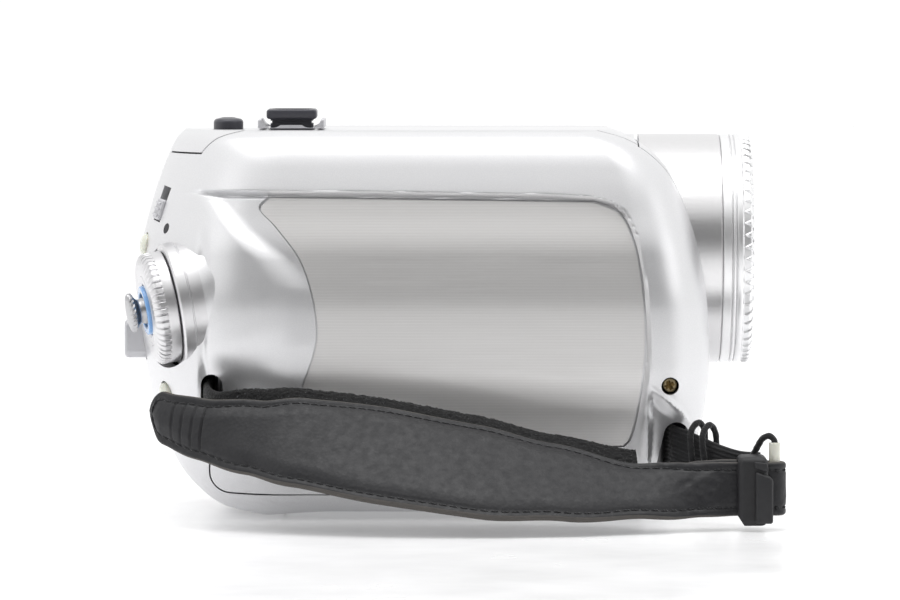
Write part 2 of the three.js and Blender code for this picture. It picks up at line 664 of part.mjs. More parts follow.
function bayButtons() {
  const names = ['screen_light_button', 'copy_button'];
  BAY_BUTTONS.forEach(([x, z], i) => {
    const profile = [[0, -4], [3, -4], [3, -2.6], [2.5, -2.6], [2.5, 0.1], [2.2, 0.3], [0, 0.3]];
    piece(names[i], turned(profile, alongY(x, 24, z), 16), GREY_PLASTIC);
  });
}

// ---------------------------------------------------------------- screen

// The screen stands open, square to the body, its glass facing the user behind the camcorder.
function screenUnit() {
  const { x, y, z, arm, length, height, thickness } = SCREEN;
  const [near, far] = [y + arm, y + arm + length];
  const [low, high] = [z - height / 2, z + height / 2];
  const half = thickness / 2;
  const split = x - 1.2;
  const outline = roundedRectangle(near, far, low, high, 5);
  const cavity = roundedRectangle(near + 1.6, far - 1.6, low + 1.6, high - 1.6, 3.6);
  const shaftHole = disc(2.1, near - 1, near + 6, alongY(x, 0, z), 24);
  const windowShape = roundedRectangle(near + 9, far - 2.5, low + 6.5, high - 6.5, 1);
  const pane = roundedRectangle(near + 9.3, far - 2.8, low + 6.8, high - 6.8, 0.8);

  const back = prismYZ(outline, split + GAP, x + half)
    .subtract(prismYZ(cavity, split - 1, x + half - 1.4))
    .subtract(shaftHole);
  piece('screen_back', back, SILVER);
  const bezel = prismYZ(outline, x - half, split)
    .subtract(prismYZ(cavity, x - half + 1.5, split + 1))
    .subtract(prismYZ(windowShape, x - half - 1, split + 1))
    .subtract(shaftHole);
  piece('screen_bezel', bezel, SILVER);
  piece('screen_glass', prismYZ(pane, x - half + 0.2, x - half + 1.2), GLASS);
  piece('screen_module', block(x - 2.6, x + 2.4, near + 8.5, far - 2.5, low + 4, high - 4), BLACK_PLASTIC);

  const pivot = upright(x, y);
  const hinge = disc(3.8, 27.3, 42.7, pivot, 24)
    .add(block(x - 3, x + 3, y, y + arm - 1, 28.5, 41.5))
    .add(disc(1.8, y + 1, near + 4, alongY(x, 0, z), 20))
    .add(disc(2.7, near + 1.9, near + 3.4, alongY(x, 0, z), 20))
    .subtract(disc(1.2, 20, 50, pivot, 16));
  piece('screen_hinge', hinge, DARK_PLASTIC);
  piece('screen_pin', disc(1, 22.2, 47.8, pivot, 16), STEEL);
}

// ---------------------------------------------------------------- hand strap

// A flat ribbon through stations of [x, y, z, width, thickness, lean]; lean tips the lower edge out.
function ribbon(stations, stepsPerSpan = 2) {
  const curve = new THREE.CatmullRomCurve3(
    stations.map(([x, y, z]) => new THREE.Vector3(x, y, z)), false, 'centripetal',
  );
  const spans = stations.length - 1;
  const count = spans * stepsPerSpan;
  const rings = [];
  for (let i = 0; i <= count; i += 1) {
    const t = i / count;
    const k = Math.min(spans - 1, Math.floor(i / stepsPerSpan));
    const f = i / stepsPerSpan - k;
    const [width, thickness, lean] = [3, 4, 5].map(
      (n) => stations[k][n] + (stations[k + 1][n] - stations[k][n]) * f,
    );
    const centre = curve.getPoint(t);
    const tangent = curve.getTangent(t).setZ(0).normalize();
    const inward = new THREE.Vector3(-tangent.y, tangent.x, 0);
    const angle = THREE.MathUtils.degToRad(lean);
    const across = new THREE.Vector3(0, 0, Math.cos(angle)).addScaledVector(inward, Math.sin(angle));
    const through = new THREE.Vector3().crossVectors(tangent, across);
    const corner = (u, v) => centre.clone()
      .addScaledVector(across, (u * width) / 2)
      .addScaledVector(through, (v * thickness) / 2);
    rings.push([corner(1, 1), corner(-1, 1), corner(-1, -1), corner(1, -1)]);
  }
  return loft(rings);
}

// The leather grip: a tapered pad, then a tongue folded back through the keeper.
const PAD_STATIONS = [
  [-51.3, -35.5, 20.4, 7, 2.2, 0],
  [-48.6, -38.8, 19.2, 9.4, 2.6, 6],
  [-42.5, -43, 17.7, 11, 2.8, 15],
  [-33, -47.4, 16.5, 14.5, 2.8, 30],
  [-24.6, -50, 15.8, 19, 2.8, 40],
  [-9.4, -52.6, 13.6, 23, 2.8, 48],
  [7.1, -53.4, 10.9, 23.5, 2.8, 51],
  [21.1, -52.6, 9, 20, 2.8, 53],
  [35.2, -50.6, 7.3, 13, 2.4, 48],
  [45.8, -48.4, 7.3, 10, 1.8, 22],
  [52, -47.5, 7.4, 9.5, 1.5, 4],
];
const TONGUE_STATIONS = [
  [58.6, -47.3, 7.4, 9.5, 1.3, 0],
  [60, -46.8, 7.4, 9.5, 1.3, 0],
  [60.6, -45.4, 7.4, 9.5, 1.3, 0],
  [60, -44, 7.4, 9.5, 1.3, 0],
  [58.6, -43.5, 7.4, 9.5, 1.3, 0],
  [52, -43.7, 7.6, 9.5, 1.3, -4],
  [46.5, -44.9, 7.8, 9, 1.3, -18],
  [42.5, -46.3, 7.6, 8.6, 1.3, -32],
];

// The webbing behind the pad: round the rear lug pin, out of its slot and along the pad's back.
function webbingStations() {
  const { x, y, z0, z1 } = REAR_LUG;
  const z = (z0 + z1) / 2;
  const width = 9;
  const around = [
    [x + 1.7, y - 2.8, z, width, 1.4, 0],
    [x + 2.1, y, z, width, 1.4, 0],
    [x, y + 2.1, z, width, 1.4, 0],
    [x - 2.1, y, z, width, 1.4, 0],
    [x - 2.2, y - 5, z - 0.3, width, 1.4, 0],
    [x - 1.9, y - 9.5, z - 0.8, width, 1.4, 2],
    [x - 0.4, y - 14, z - 1.4, width, 1.4, 8],
  ];
  const behind = PAD_STATIONS.slice(3, 9).map(([px, py, pz, padWidth, , lean]) => {
    const angle = THREE.MathUtils.degToRad(lean);
    const drop = 3.4;
    const raise = 2.4;
    return [
      px, py + drop * Math.cos(angle) + raise * Math.sin(angle),
      pz - drop * Math.sin(angle) + raise * Math.cos(angle), padWidth * 0.82, 1.6, lean,
    ];
  });
  return [...around, ...behind];
}

const FRONT_WEBBING_STATIONS = [
  [FRONT_LUG.x - 1.6, FRONT_LUG.y - 2.6, 12.8, 8.6, 1.4, 0],
  [FRONT_LUG.x - 2.1, FRONT_LUG.y, 12.8, 8.6, 1.4, 0],
  [FRONT_LUG.x, FRONT_LUG.y + 2.1, 12.8, 8.6, 1.4, 0],
  [FRONT_LUG.x + 2.1, FRONT_LUG.y, 12.8, 8.6, 1.4, 0],
  [FRONT_LUG.x + 3.2, FRONT_LUG.y - 4, 12.6, 8.8, 1.4, 0],
  [45.4, -31, 11.6, 9, 1.4, 0],
  [50.4, -37.2, 9.8, 9, 1.4, 0],
  [53.6, -39.2, 9, 9, 1.4, 0],
  [57, -39.7, 8.8, 9, 1.4, 0],
];

function handStrap() {
  piece('grip_pad', ribbon([...PAD_STATIONS, ...TONGUE_STATIONS], 2), LEATHER);
  piece('strap_webbing', ribbon(webbingStations(), 2), WEBBING);
  piece('strap_front_webbing', ribbon(FRONT_WEBBING_STATIONS, 2), WEBBING);
  for (const [name, lug] of [['front_strap_pin', FRONT_LUG], ['rear_strap_pin', REAR_LUG]]) {
    piece(name, disc(1, lug.z0 - 1, lug.z1 + 1, upright(lug.x, lug.y), 16), STEEL);
  }
}

// A rubber loop that holds the tongue; it slides along the strap.
function strapKeeper() {
  const { x0, x1, y0, y1, z0, z1 } = KEEPER;
  const loop = prismYZ(roundedRectangle(y0, y1, z0, z1, 1.4), x0, x1, 4)
    .subtract(prismYZ(roundedRectangle(y0 + 1.3, y1 - 1.1, z0 + 1.2, z1 - 1.2, 0.4), x0 - 1, x1 + 1, 2))
    .add(block(x1 - 2.2, x1 - 0.4, y0 - 0.9, y0 + 0.4, z0 + 1, z1 - 4.4));
  piece('strap_keeper', loop, RUBBER);
}

// ---------------------------------------------------------------- lens cap cord

// The cord is wound twice round the front webbing, then looped over the tongue into its bead.
const CORD_ROUTE = [
  [47.4, -29.9, 13.4], [47.5, -30.1, 16.4], [46.4, -31.4, 18], [45, -32.9, 16.6], [45.1, -34.2, 11],
  [45.6, -34.9, 4.6], [47.3, -34, 3.2], [49.1, -32.6, 4.8], [49.3, -33.1, 10.5], [49.3, -33.2, 16.2],
  [48.2, -34.6, 17.8], [46.9, -36.1, 16.2], [47.3, -36.9, 10.5], [48, -37.6, 4.2], [49.8, -36.9, 2.6],
  [51.6, -35.6, 3.8], [52.2, -35.7, 8.5], [53.4, -36.6, 12.6], [55, -38, 15.4], [56.9, -40.6, 16.9],
  [58.3, -43.4, 17.2], [58.8, -45.2, 16.2],
];

function tube(route, diameter, steps, sides) {
  const path = new THREE.CatmullRomCurve3(route.map((p) => new THREE.Vector3(...p)), false, 'centripetal');
  const section = new THREE.Shape();
  for (let i = 0; i < sides; i += 1) {
    const angle = (2 * Math.PI * i) / sides;
    const point = [(diameter / 2) * Math.cos(angle), (diameter / 2) * Math.sin(angle)];
    if (i === 0) section.moveTo(...point);
    else section.lineTo(...point);
  }
  return solid(new THREE.ExtrudeGeometry(section, { steps, extrudePath: path }));
}

function capCord() {
  piece('cap_cord', tube(CORD_ROUTE, CORD_DIAMETER, 54, 8), WEBBING);
  piece('cord_bead', ringSolid(0.4, 0.8, 11.6, 15.3, upright(58.8, -45.4), 16), IVORY);
}

// ---------------------------------------------------------------- assembly

rightShell();
sidePanel();
leftShell();
topCover();
frontCover();
baseCover();
tripodSocket();
screws();
batteryHolder();
battery();
batteryLatch();
modeDial();
joystick();
recordButton();
domedButton('menu_button', MENU_SEAT.radius, menuFrame, IVORY);
domedButton('delete_button', DELETE_SEAT.radius, deleteFrame, IVORY);
powerSwitch();
zoomLever();
shotButton();
lensParts();
internals();
frontFittings();
cardDoor();
terminalDoor();
bayButtons();
screenUnit();
handStrap();
strapKeeper();
capCord();

export default camcorder;
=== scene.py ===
"""The looks of the hand-held camcorder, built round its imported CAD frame.

Lengths in this script are millimetres and become metres when a mesh is made.
+X points to the lens, +Y to the screen side, -Y to the grip side and +Z up.
"""
import math

import bmesh
import bpy
import numpy as np
from mathutils import Matrix, Vector, noise


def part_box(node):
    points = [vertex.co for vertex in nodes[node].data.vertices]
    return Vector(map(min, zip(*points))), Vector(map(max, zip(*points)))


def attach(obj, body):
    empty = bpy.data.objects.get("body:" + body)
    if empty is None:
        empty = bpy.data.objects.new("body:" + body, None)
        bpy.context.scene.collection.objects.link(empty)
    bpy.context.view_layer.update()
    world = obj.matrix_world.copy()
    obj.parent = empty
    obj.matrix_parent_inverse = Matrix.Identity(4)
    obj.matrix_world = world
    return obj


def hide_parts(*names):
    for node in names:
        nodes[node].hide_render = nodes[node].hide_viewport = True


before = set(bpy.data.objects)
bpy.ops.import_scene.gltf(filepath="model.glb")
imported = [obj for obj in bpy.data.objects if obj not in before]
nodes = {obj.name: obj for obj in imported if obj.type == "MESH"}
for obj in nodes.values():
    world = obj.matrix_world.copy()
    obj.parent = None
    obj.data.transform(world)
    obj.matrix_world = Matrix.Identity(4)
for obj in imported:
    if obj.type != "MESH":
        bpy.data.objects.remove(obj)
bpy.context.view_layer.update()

MM = 0.001
FAR = 120
# the seam between two pieces and the skin's thickness
GAP = 0.3
WALL = 2
scene = bpy.context.scene


def box_mm(node):
    """Lowest and highest corner of a CAD node, in millimetres."""
    low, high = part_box(node)
    return Vector(low) / MM, Vector(high) / MM


# ---- camera

CAMERA_DISTANCE = 1.1
CAMERA_ELEVATION = math.radians(3)
CAMERA_TARGET = Vector((0.00184, 0, 0.0383))


def make_camera():
    data = bpy.data.cameras.new("camera")
    data.lens = 239
    data.sensor_width = 36
    data.clip_start = 0.05
    data.clip_end = 20
    camera = bpy.data.objects.new("camera", data)
    scene.collection.objects.link(camera)
    back = Vector((0, -math.cos(CAMERA_ELEVATION), math.sin(CAMERA_ELEVATION)))
    camera.location = CAMERA_TARGET + back * CAMERA_DISTANCE
    camera.rotation_euler = (-back).to_track_quat("-Z", "Y").to_euler()
    scene.camera = camera


make_camera()

# ---- mesh helpers


def link(name, mesh):
    piece = bpy.data.objects.new(name, mesh)
    scene.collection.objects.link(piece)
    return piece


def solid(name, points, faces):
    """An object from points in millimetres and faces, with outward normals."""
    mesh = bpy.data.meshes.new(name)
    mesh.from_pydata((np.asarray(points, dtype=float) * MM).tolist(), [], faces)
    mesh.validate()
    work = bmesh.new()
    work.from_mesh(mesh)
    bmesh.ops.recalc_face_normals(work, faces=work.faces)
    work.to_mesh(mesh)
    work.free()
    return link(name, mesh)


def tube_faces(rings, sides, base=0):
    """The faces between rings of points that follow one another."""
    faces = []
    for k in range(rings - 1):
        near, far = base + k * sides, base + (k + 1) * sides
        for i in range(sides):
            j = (i + 1) % sides
            faces.append((near + i, far + i, far + j, near + j))
    return faces


def settle(piece):
    """Applies a piece's modifiers."""
    graph = bpy.context.evaluated_depsgraph_get()
    mesh = bpy.data.meshes.new_from_object(piece.evaluated_get(graph))
    piece.modifiers.clear()
    piece.data = mesh
    return piece


def boolean(piece, other, operation, keep=False):
    cutter = piece.modifiers.new("cut", "BOOLEAN")
    cutter.operation = operation
    cutter.solver = "MANIFOLD"
    cutter.object = other
    settle(piece)
    if not keep:
        bpy.data.objects.remove(other)
    return piece


def cut(piece, *others):
    for other in others:
        boolean(piece, other, "DIFFERENCE")
    return piece


def join(piece, *others):
    for other in others:
        boolean(piece, other, "UNION")
    return piece


def meet(piece, other):
    return boolean(piece, other, "INTERSECT")


def duplicate(piece, name):
    return link(name, piece.data.copy())


def add_bevel(piece, width, segments, angle):
    bevel = piece.modifiers.new("soften", "BEVEL")
    bevel.width = width * MM
    bevel.segments = segments
    bevel.limit_method = "ANGLE"
    bevel.angle_limit = math.radians(angle)


def soften(piece, width, segments=3, angle=35):
    """Rounds a piece's sharp edges."""
    add_bevel(piece, width, segments, angle)
    return settle(piece)


def box(name, x0, x1, y0, y1, z0, z1, round_by=0, segments=3):
    corners = [(x, y, z) for x in (x0, x1) for y in (y0, y1) for z in (z0, z1)]
    faces = [(0, 1, 3, 2), (4, 6, 7, 5), (0, 4, 5, 1), (2, 3, 7, 6), (0, 2, 6, 4), (1, 5, 7, 3)]
    piece = solid(name, corners, faces)
    return soften(piece, round_by, segments) if round_by else piece


def placed(piece, matrix):
    """Moves a piece's points by a matrix whose shift is in millimetres."""
    shifted = matrix.copy()
    shifted.translation = matrix.translation * MM
    piece.data.transform(shifted)
    return piece


def prism(name, outline, low, high, axis="Y"):
    """An outline drawn in X and Z, or in Y and Z, extruded along the axis left."""
    count = len(outline)
    points = []
    for depth in (low, high):
        for u, v in outline:
            points.append((u, depth, v) if axis == "Y" else (depth, u, v))
    faces = [tuple(range(count)), tuple(range(2 * count - 1, count - 1, -1))]
    for i in range(count):
        j = (i + 1) % count
        faces.append((i, i + count, j + count, j))
    return solid(name, points, faces)


def rounded_rectangle(u0, u1, v0, v1, radius, steps=8):
    corners = [(u1 - radius, v1 - radius, 0), (u0 + radius, v1 - radius, 90),
               (u0 + radius, v0 + radius, 180), (u1 - radius, v0 + radius, 270)]
    points = []
    for cu, cv, start in corners:
        for k in range(steps + 1):
            angle = math.radians(start + 90 * k / steps)
            points.append((cu + radius * math.cos(angle), cv + radius * math.sin(angle)))
    return points


def lathe(name, profile, matrix, segments, ripple=None):
    """A profile of (radius, height) turned about +Z of matrix; ripple(angle, radius, height) adds radius."""
    profile = list(profile)
    on_axis = [k for k, (radius, _) in enumerate(profile) if radius < 1e-6]
    rings = []
    points = []
    for k, (radius, height) in enumerate(profile):
        if k in on_axis:
            points.append((0, 0, height))
            rings.append([len(points) - 1] * segments)
            continue
        ring = []
        for i in range(segments):
            angle = 2 * math.pi * i / segments
            r = radius + (ripple(angle, radius, height) if ripple else 0)
            points.append((r * math.cos(angle), r * math.sin(angle), height))
            ring.append(len(points) - 1)
        rings.append(ring)
    spans = len(profile) - 1 if on_axis else len(profile)
    faces = []
    for k in range(spans):
        a = rings[k]
        b = rings[(k + 1) % len(profile)]
        for i in range(segments):
            j = (i + 1) % segments
            corners = list(dict.fromkeys((a[i], a[j], b[j], b[i])))
            if len(corners) > 2:
                faces.append(corners)
    return placed(solid(name, points, faces), matrix)


def rounded_profile(profile, radius, steps):
    """Rounds the corners of a profile that isn't on the axis."""
    result = []
    count = len(profile)
    for k, (r, h) in enumerate(profile):
        here = Vector((r, h))
        before = Vector(profile[k - 1])
        after = Vector(profile[(k + 1) % count])
        if r < 1e-6 or (before - here).length < 1e-6 or (after - here).length < 1e-6:
            result.append((r, h))
            continue
        reach = min(radius, (before - here).length * 0.45, (after - here).length * 0.45)
        start = here + (before - here).normalized() * reach
        end = here + (after - here).normalized() * reach
        for i in range(steps + 1):
            t = i / steps
            point = start.lerp(here, t).lerp(here.lerp(end, t), t)
            result.append((max(0, point.x), point.y))
    return result


def axes(x_axis, y_axis, z_axis, origin):
    matrix = Matrix.Identity(4)
    for column, axis in enumerate((x_axis, y_axis, z_axis)):
        for row in range(3):
            matrix[row][column] = axis[row]
    matrix.translation = Vector(origin)
    return matrix


def along_x(x, y, z):
    return axes((0, 0, -1), (0, 1, 0), (1, 0, 0), (x, y, z))


def along_y(x, y, z):
    return axes((1, 0, 0), (0, 0, -1), (0, 1, 0), (x, y, z))


def upright(x, y):
    return Matrix.Translation((x, y, 0))


def finish_piece(piece, body, slot, material, *replaced, sharp=32):
    """Gives a piece its finish, its body and the CAD nodes that it stands for."""
    piece.data.materials.clear()
    piece.data.materials.append(material)
    piece.data.shade_smooth()
    piece.data.set_sharp_from_angle(angle=math.radians(sharp))
    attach(piece, body)
    if replaced:
        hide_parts(*replaced)
    return piece


# ---- materials


def add_node(tree, kind, output, inputs, **settings):
    """Adds a node and gives its output; an input is a constant or another node's output."""
    node = tree.nodes.new(kind)
    for key, value in settings.items():
        setattr(node, key, value)
    for key, value in inputs.items():
        if isinstance(value, bpy.types.NodeSocket):
            tree.links.new(value, node.inputs[key])
        else:
            node.inputs[key].default_value = value
    return node.outputs[output]


class Nodes:
    """A small builder of materials."""

    def __init__(self, name):
        self.material = bpy.data.materials.new(name)
        self.material.use_nodes = True
        self.tree = self.material.node_tree
        self.shader = self.tree.nodes["Principled BSDF"]
        self.place = self.add("ShaderNodeTexCoord", "Object", {})

    def add(self, kind, output, inputs, **settings):
        return add_node(self.tree, kind, output, inputs, **settings)

    def stretched(self, x, y, z):
        return self.add("ShaderNodeMapping", "Vector", {"Scale": (x, y, z), "Vector": self.place})

    def noise(self, scale, detail=3, where=None, roughness=0.55):
        return self.add("ShaderNodeTexNoise", "Fac", {
            "Scale": scale, "Detail": detail, "Roughness": roughness, "Vector": where or self.place})

    def cells(self, scale, feature="F1"):
        inputs = {"Scale": scale, "Vector": self.place}
        return self.add("ShaderNodeTexVoronoi", "Distance", inputs, feature=feature)

    def bands(self, direction, scale, distortion=0):
        inputs = {"Scale": scale, "Distortion": distortion, "Vector": self.place}
        return self.add("ShaderNodeTexWave", "Fac", inputs, bands_direction=direction)

    def spread(self, value, low, high, from_low=0.3, from_high=0.7):
        return self.add("ShaderNodeMapRange", "Result", {
            "From Min": from_low, "From Max": from_high, "To Min": low, "To Max": high, "Value": value})

    def blend(self, factor, first, second):
        ends = [(*end, 1) if isinstance(end, tuple) else end for end in (first, second)]
        inputs = {"Factor": factor, "A": ends[0], "B": ends[1]}
        return self.add("ShaderNodeMix", "Result", inputs, data_type="RGBA")

    def edges(self):
        """Grows from 0 to 1 on a mesh's outward edges."""
        return self.spread(self.add("ShaderNodeNewGeometry", "Pointiness", {}), 0, 1, 0.5, 0.56)

    def colour(self, source):
        self.tree.links.new(source, self.shader.inputs["Base Color"])

    def rough(self, source):
        self.tree.links.new(source, self.shader.inputs["Roughness"])

    def bump(self, height, strength, distance):
        inputs = {"Strength": strength, "Distance": distance * MM, "Height": height}
        normal = self.shader.inputs["Normal"]
        if normal.links:
            inputs["Normal"] = normal.links[0].from_socket
        self.tree.links.new(self.add("ShaderNodeBump", "Normal", inputs), normal)

    def set(self, **values):
        for key, value in values.items():
            self.shader.inputs[key.replace("_", " ")].default_value = value


def shade(colour, factor):
    return tuple(min(1.0, channel * factor) for channel in colour)


def moulded(name, colour, rough, grain, metal=0.0, bump=0.06, wear=1.12, **values):
    """Moulded or painted finish: fine grain, uneven gloss and edges a little lighter."""
    made = Nodes(name)
    made.set(Metallic=metal, **values)
    mottled = made.blend(made.noise(60, 4), shade(colour, 0.95), shade(colour, 1.04))
    made.colour(made.blend(made.edges(), mottled, shade(colour, wear)))
    made.rough(made.spread(made.noise(grain * 0.5, 2), rough - 0.05, rough + 0.06))
    made.bump(made.noise(grain, 2), bump, 0.05)
    return made.material


def silver_paint():
    """Silver paint: flakes of slightly different gloss in a satin coat."""
    made = Nodes("silver_paint")
    made.set(Metallic=0.72, Coat_Weight=0.2, Coat_Roughness=0.2)
    flakes = made.cells(5200)
    base = made.blend(made.noise(35, 3), (0.80, 0.80, 0.81), (0.85, 0.85, 0.855))
    made.colour(made.blend(made.spread(flakes, 0, 0.35, 0.1, 0.6), base, (0.69, 0.69, 0.71)))
    made.rough(made.spread(made.noise(2600, 2), 0.3, 0.38))
    made.bump(flakes, 0.05, 0.03)
    return made.material


def brushed_plate():
    """Brushed plate: level lines half a millimetre apart over long fine scratches."""
    made = Nodes("brushed_plate")
    made.set(Metallic=0.85)
    lines = made.bands("Z", 600)
    scratches = made.noise(1, 4, made.stretched(60, 60, 9000))
    base = made.blend(made.noise(25, 2), (0.74, 0.73, 0.72), (0.78, 0.77, 0.76))
    lined = made.blend(made.spread(lines, 0, 0.3, 0.2, 1), base, (0.86, 0.85, 0.84))
    made.colour(made.blend(made.spread(scratches, 0, 0.3), lined, (0.64, 0.63, 0.62)))
    made.rough(made.spread(scratches, 0.36, 0.48))
    made.bump(lines, 0.16, 0.03)
    made.bump(scratches, 0.08, 0.02)
    return made.material


def turned_metal(name, colour, rough, lines):
    """Turned metal: fine parallel lines."""
    made = Nodes(name)
    made.set(Metallic=1.0)
    scratches = made.noise(1, 3, made.stretched(lines, 40, 40))
    made.colour(made.blend(scratches, shade(colour, 0.94), shade(colour, 1.04)))
    made.rough(made.spread(scratches, rough - 0.05, rough + 0.08))
    made.bump(scratches, 0.05, 0.03)
    return made.material


def satin_metal(name, colour, rough):
    """Plated satin metal: an even fine grain."""
    made = Nodes(name)
    made.set(Metallic=1.0)
    made.colour(made.blend(made.noise(900, 2), shade(colour, 0.97), shade(colour, 1.02)))
    made.rough(made.spread(made.noise(2600, 2), rough - 0.02, rough + 0.04))
    return made.material


def leather():
    """Coated charcoal leather: a pebbled grain and fine creases."""
    made = Nodes("leather")
    made.set(Specular_IOR_Level=0.42)
    pebbles = made.cells(1500)
    creases = made.noise(320, 5, None, 0.65)
    base = made.blend(made.noise(120, 4), (0.013, 0.013, 0.015), (0.021, 0.021, 0.0235))
    made.colour(made.blend(made.spread(pebbles, 0, 0.5, 0.5, 0.9), base, (0.010, 0.010, 0.0115)))
    made.rough(made.spread(made.noise(700, 3), 0.4, 0.58))
    made.bump(pebbles, 0.28, 0.12)
    made.bump(creases, 0.3, 0.2)
    return made.material


def cut_edge():
    """The raw edge of the leather: brown-grey layers."""
    made = Nodes("leather_edge")
    layers = made.noise(1, 4, made.stretched(500, 500, 2600))
    made.colour(made.blend(layers, (0.045, 0.042, 0.040), (0.12, 0.11, 0.10)))
    made.rough(made.spread(layers, 0.7, 0.9))
    made.bump(layers, 0.4, 0.15)
    return made.material


def webbing(name="webbing", colour=(0.010, 0.010, 0.011), weave=2400):
    """Woven black webbing with a fine twill and loose pale fibres."""
    made = Nodes(name)
    made.set(Sheen_Weight=0.35, Sheen_Roughness=0.4)
    twill = made.bands("DIAGONAL", weave * 0.157, 0.6)
    fibres = made.noise(1, 3, made.stretched(3500, 3500, 1200))
    base = made.blend(made.noise(260, 3), colour, shade(colour, 2.1))
    made.colour(made.blend(made.spread(fibres, 0, 0.5, 0.62, 0.8), base, (0.09, 0.09, 0.095)))
    made.rough(made.spread(fibres, 0.75, 0.95))
    made.bump(twill, 0.4, 0.12)
    made.bump(fibres, 0.3, 0.1)
    return made.material


def glass(name, colour, coat):
    """Coated optical glass, nearly black, with a faint tint that dirt breaks up."""
    made = Nodes(name)
    made.set(Coat_Weight=1.0, Coat_Roughness=0.02, IOR=1.6, Coat_Tint=(*coat, 1))
    made.colour(made.blend(made.noise(90, 3), shade(colour, 0.8), shade(colour, 1.25)))
    made.rough(made.spread(made.noise(500, 4), 0.04, 0.1))
    return made.material


def circuit_board():
    made = Nodes("circuit_board")
    tracks = made.cells(420, "DISTANCE_TO_EDGE")
    made.colour(made.blend(made.spread(tracks, 0, 1, 0.02, 0.08), (0.16, 0.36, 0.14), (0.02, 0.11, 0.045)))
    made.rough(made.spread(made.noise(600, 2), 0.4, 0.6))
    made.bump(tracks, 0.2, 0.1)
    return made.material


SILVER = silver_paint()
PANEL = brushed_plate()
RING = satin_metal("ring_metal", (0.93, 0.93, 0.935), 0.36)
BARREL = satin_metal("barrel_metal", (0.8, 0.795, 0.8), 0.3)
DIAL_METAL = satin_metal("dial_metal", (0.74, 0.735, 0.745), 0.34)
STICK = satin_metal("stick_metal", (0.5, 0.5, 0.51), 0.34)
STEEL = turned_metal("steel", (0.6, 0.6, 0.61), 0.32, 1500)
BRASS = turned_metal("brass", (0.42, 0.34, 0.2), 0.34, 1800)
DARK = moulded("dark_plastic", (0.045, 0.045, 0.055), 0.38, 1400, wear=1.9, Coat_Weight=0.2)
BLACK = moulded("black_plastic", (0.018, 0.018, 0.02), 0.5, 1200, wear=1.5)
GREY = moulded("grey_plastic", (0.55, 0.55, 0.57), 0.36, 1300, 0.35)
IVORY = moulded("ivory_plastic", (0.80, 0.775, 0.66), 0.2, 500, bump=0.03,
                Coat_Weight=0.8, Coat_Roughness=0.08, Subsurface_Weight=0.1)
BLUE = moulded("blue_ring", (0.22, 0.45, 0.82), 0.2, 700, Coat_Weight=0.7, Coat_Roughness=0.06)
LENS = glass("lens_glass", (0.012, 0.012, 0.022), (0.75, 0.7, 1.0))
DISPLAY = glass("screen_glass", (0.008, 0.008, 0.01), (0.9, 0.95, 1.0))
LEATHER = leather()
EDGE = cut_edge()
WEBBING = webbing()
THREAD = webbing("thread", (0.009, 0.009, 0.010), 5000)
RUBBER = moulded("rubber", (0.013, 0.013, 0.0145), 0.55, 1600, bump=0.12, wear=1.5)
BOARD = circuit_board()

# ---- lens cap cord

CORD_ROUTE = [
    (47.4, -29.9, 13.4), (47.5, -30.1, 16.4), (46.4, -31.4, 18), (45, -32.9, 16.6), (45.1, -34.2, 11),
    (45.6, -34.9, 4.6), (47.3, -34, 3.2), (49.1, -32.6, 4.8), (49.3, -33.1, 10.5), (49.3, -33.2, 16.2),
    (48.2, -34.6, 17.8), (46.9, -36.1, 16.2), (47.3, -36.9, 10.5), (48, -37.6, 4.2), (49.8, -36.9, 2.6),
    (51.6, -35.6, 3.8), (52.6, -36.2, 8), (54.2, -38, 11), (55.6, -40.2, 12.8), (56.4, -42.4, 14.6),
    (57.2, -44.2, 16.1), (58.3, -45.3, 16.6), (59.1, -45.7, 15.9), (59.2, -45.6, 14.8),
]
CORD_DIAMETER = 1.2
CORD_STEP = 0.16
STRANDS = 4
STRAND_PITCH = 3.2
BEAD = {"x": 59.2, "y": -45.5, "low": 11.4, "high": 15.5}


def smooth_line(stations, per_span):
    """A centripetal Catmull-Rom curve through points, with its other values blended along."""
    rows = np.asarray(stations, dtype=float)
    places = rows[:, :3]
    before = 2 * places[0] - places[1]
    after = 2 * places[-1] - places[-2]
    padded = np.vstack([before, places, after])
    points = []
    for k in range(len(rows) - 1):
        p0, p1, p2, p3 = padded[k:k + 4]
        t0 = 0
        t1 = t0 + np.linalg.norm(p1 - p0) ** 0.5
        t2 = t1 + np.linalg.norm(p2 - p1) ** 0.5
        t3 = t2 + np.linalg.norm(p3 - p2) ** 0.5
        last = k == len(rows) - 2
        for f in np.linspace(0, 1, per_span + 1)[: None if last else -1]:
            t = t1 + (t2 - t1) * f
            a1 = (t1 - t) / (t1 - t0) * p0 + (t - t0) / (t1 - t0) * p1
            a2 = (t2 - t) / (t2 - t1) * p1 + (t - t1) / (t2 - t1) * p2
            a3 = (t3 - t) / (t3 - t2) * p2 + (t - t2) / (t3 - t2) * p3
            b1 = (t2 - t) / (t2 - t0) * a1 + (t - t0) / (t2 - t0) * a2
            b2 = (t3 - t) / (t3 - t1) * a2 + (t - t1) / (t3 - t1) * a3
            place = (t2 - t) / (t2 - t1) * b1 + (t - t1) / (t2 - t1) * b2
            eased = f * f * (3 - 2 * f)
            others = rows[k, 3:] + (rows[k + 1, 3:] - rows[k, 3:]) * eased
            points.append(np.concatenate([place, others]))
    return np.array(points)


def evenly(points, step):
    """The same line with its points the same distance apart."""
    lengths = np.linalg.norm(np.diff(points[:, :3], axis=0), axis=1)
    along = np.concatenate([[0], np.cumsum(lengths)])
    count = max(2, int(round(along[-1] / step)) + 1)
    wanted = np.linspace(0, along[-1], count)
    return np.column_stack([np.interp(wanted, along, column) for column in points.T]), wanted


def tangents(points):
    slopes = np.gradient(points[:, :3], axis=0)
    return slopes / np.linalg.norm(slopes, axis=1)[:, None]


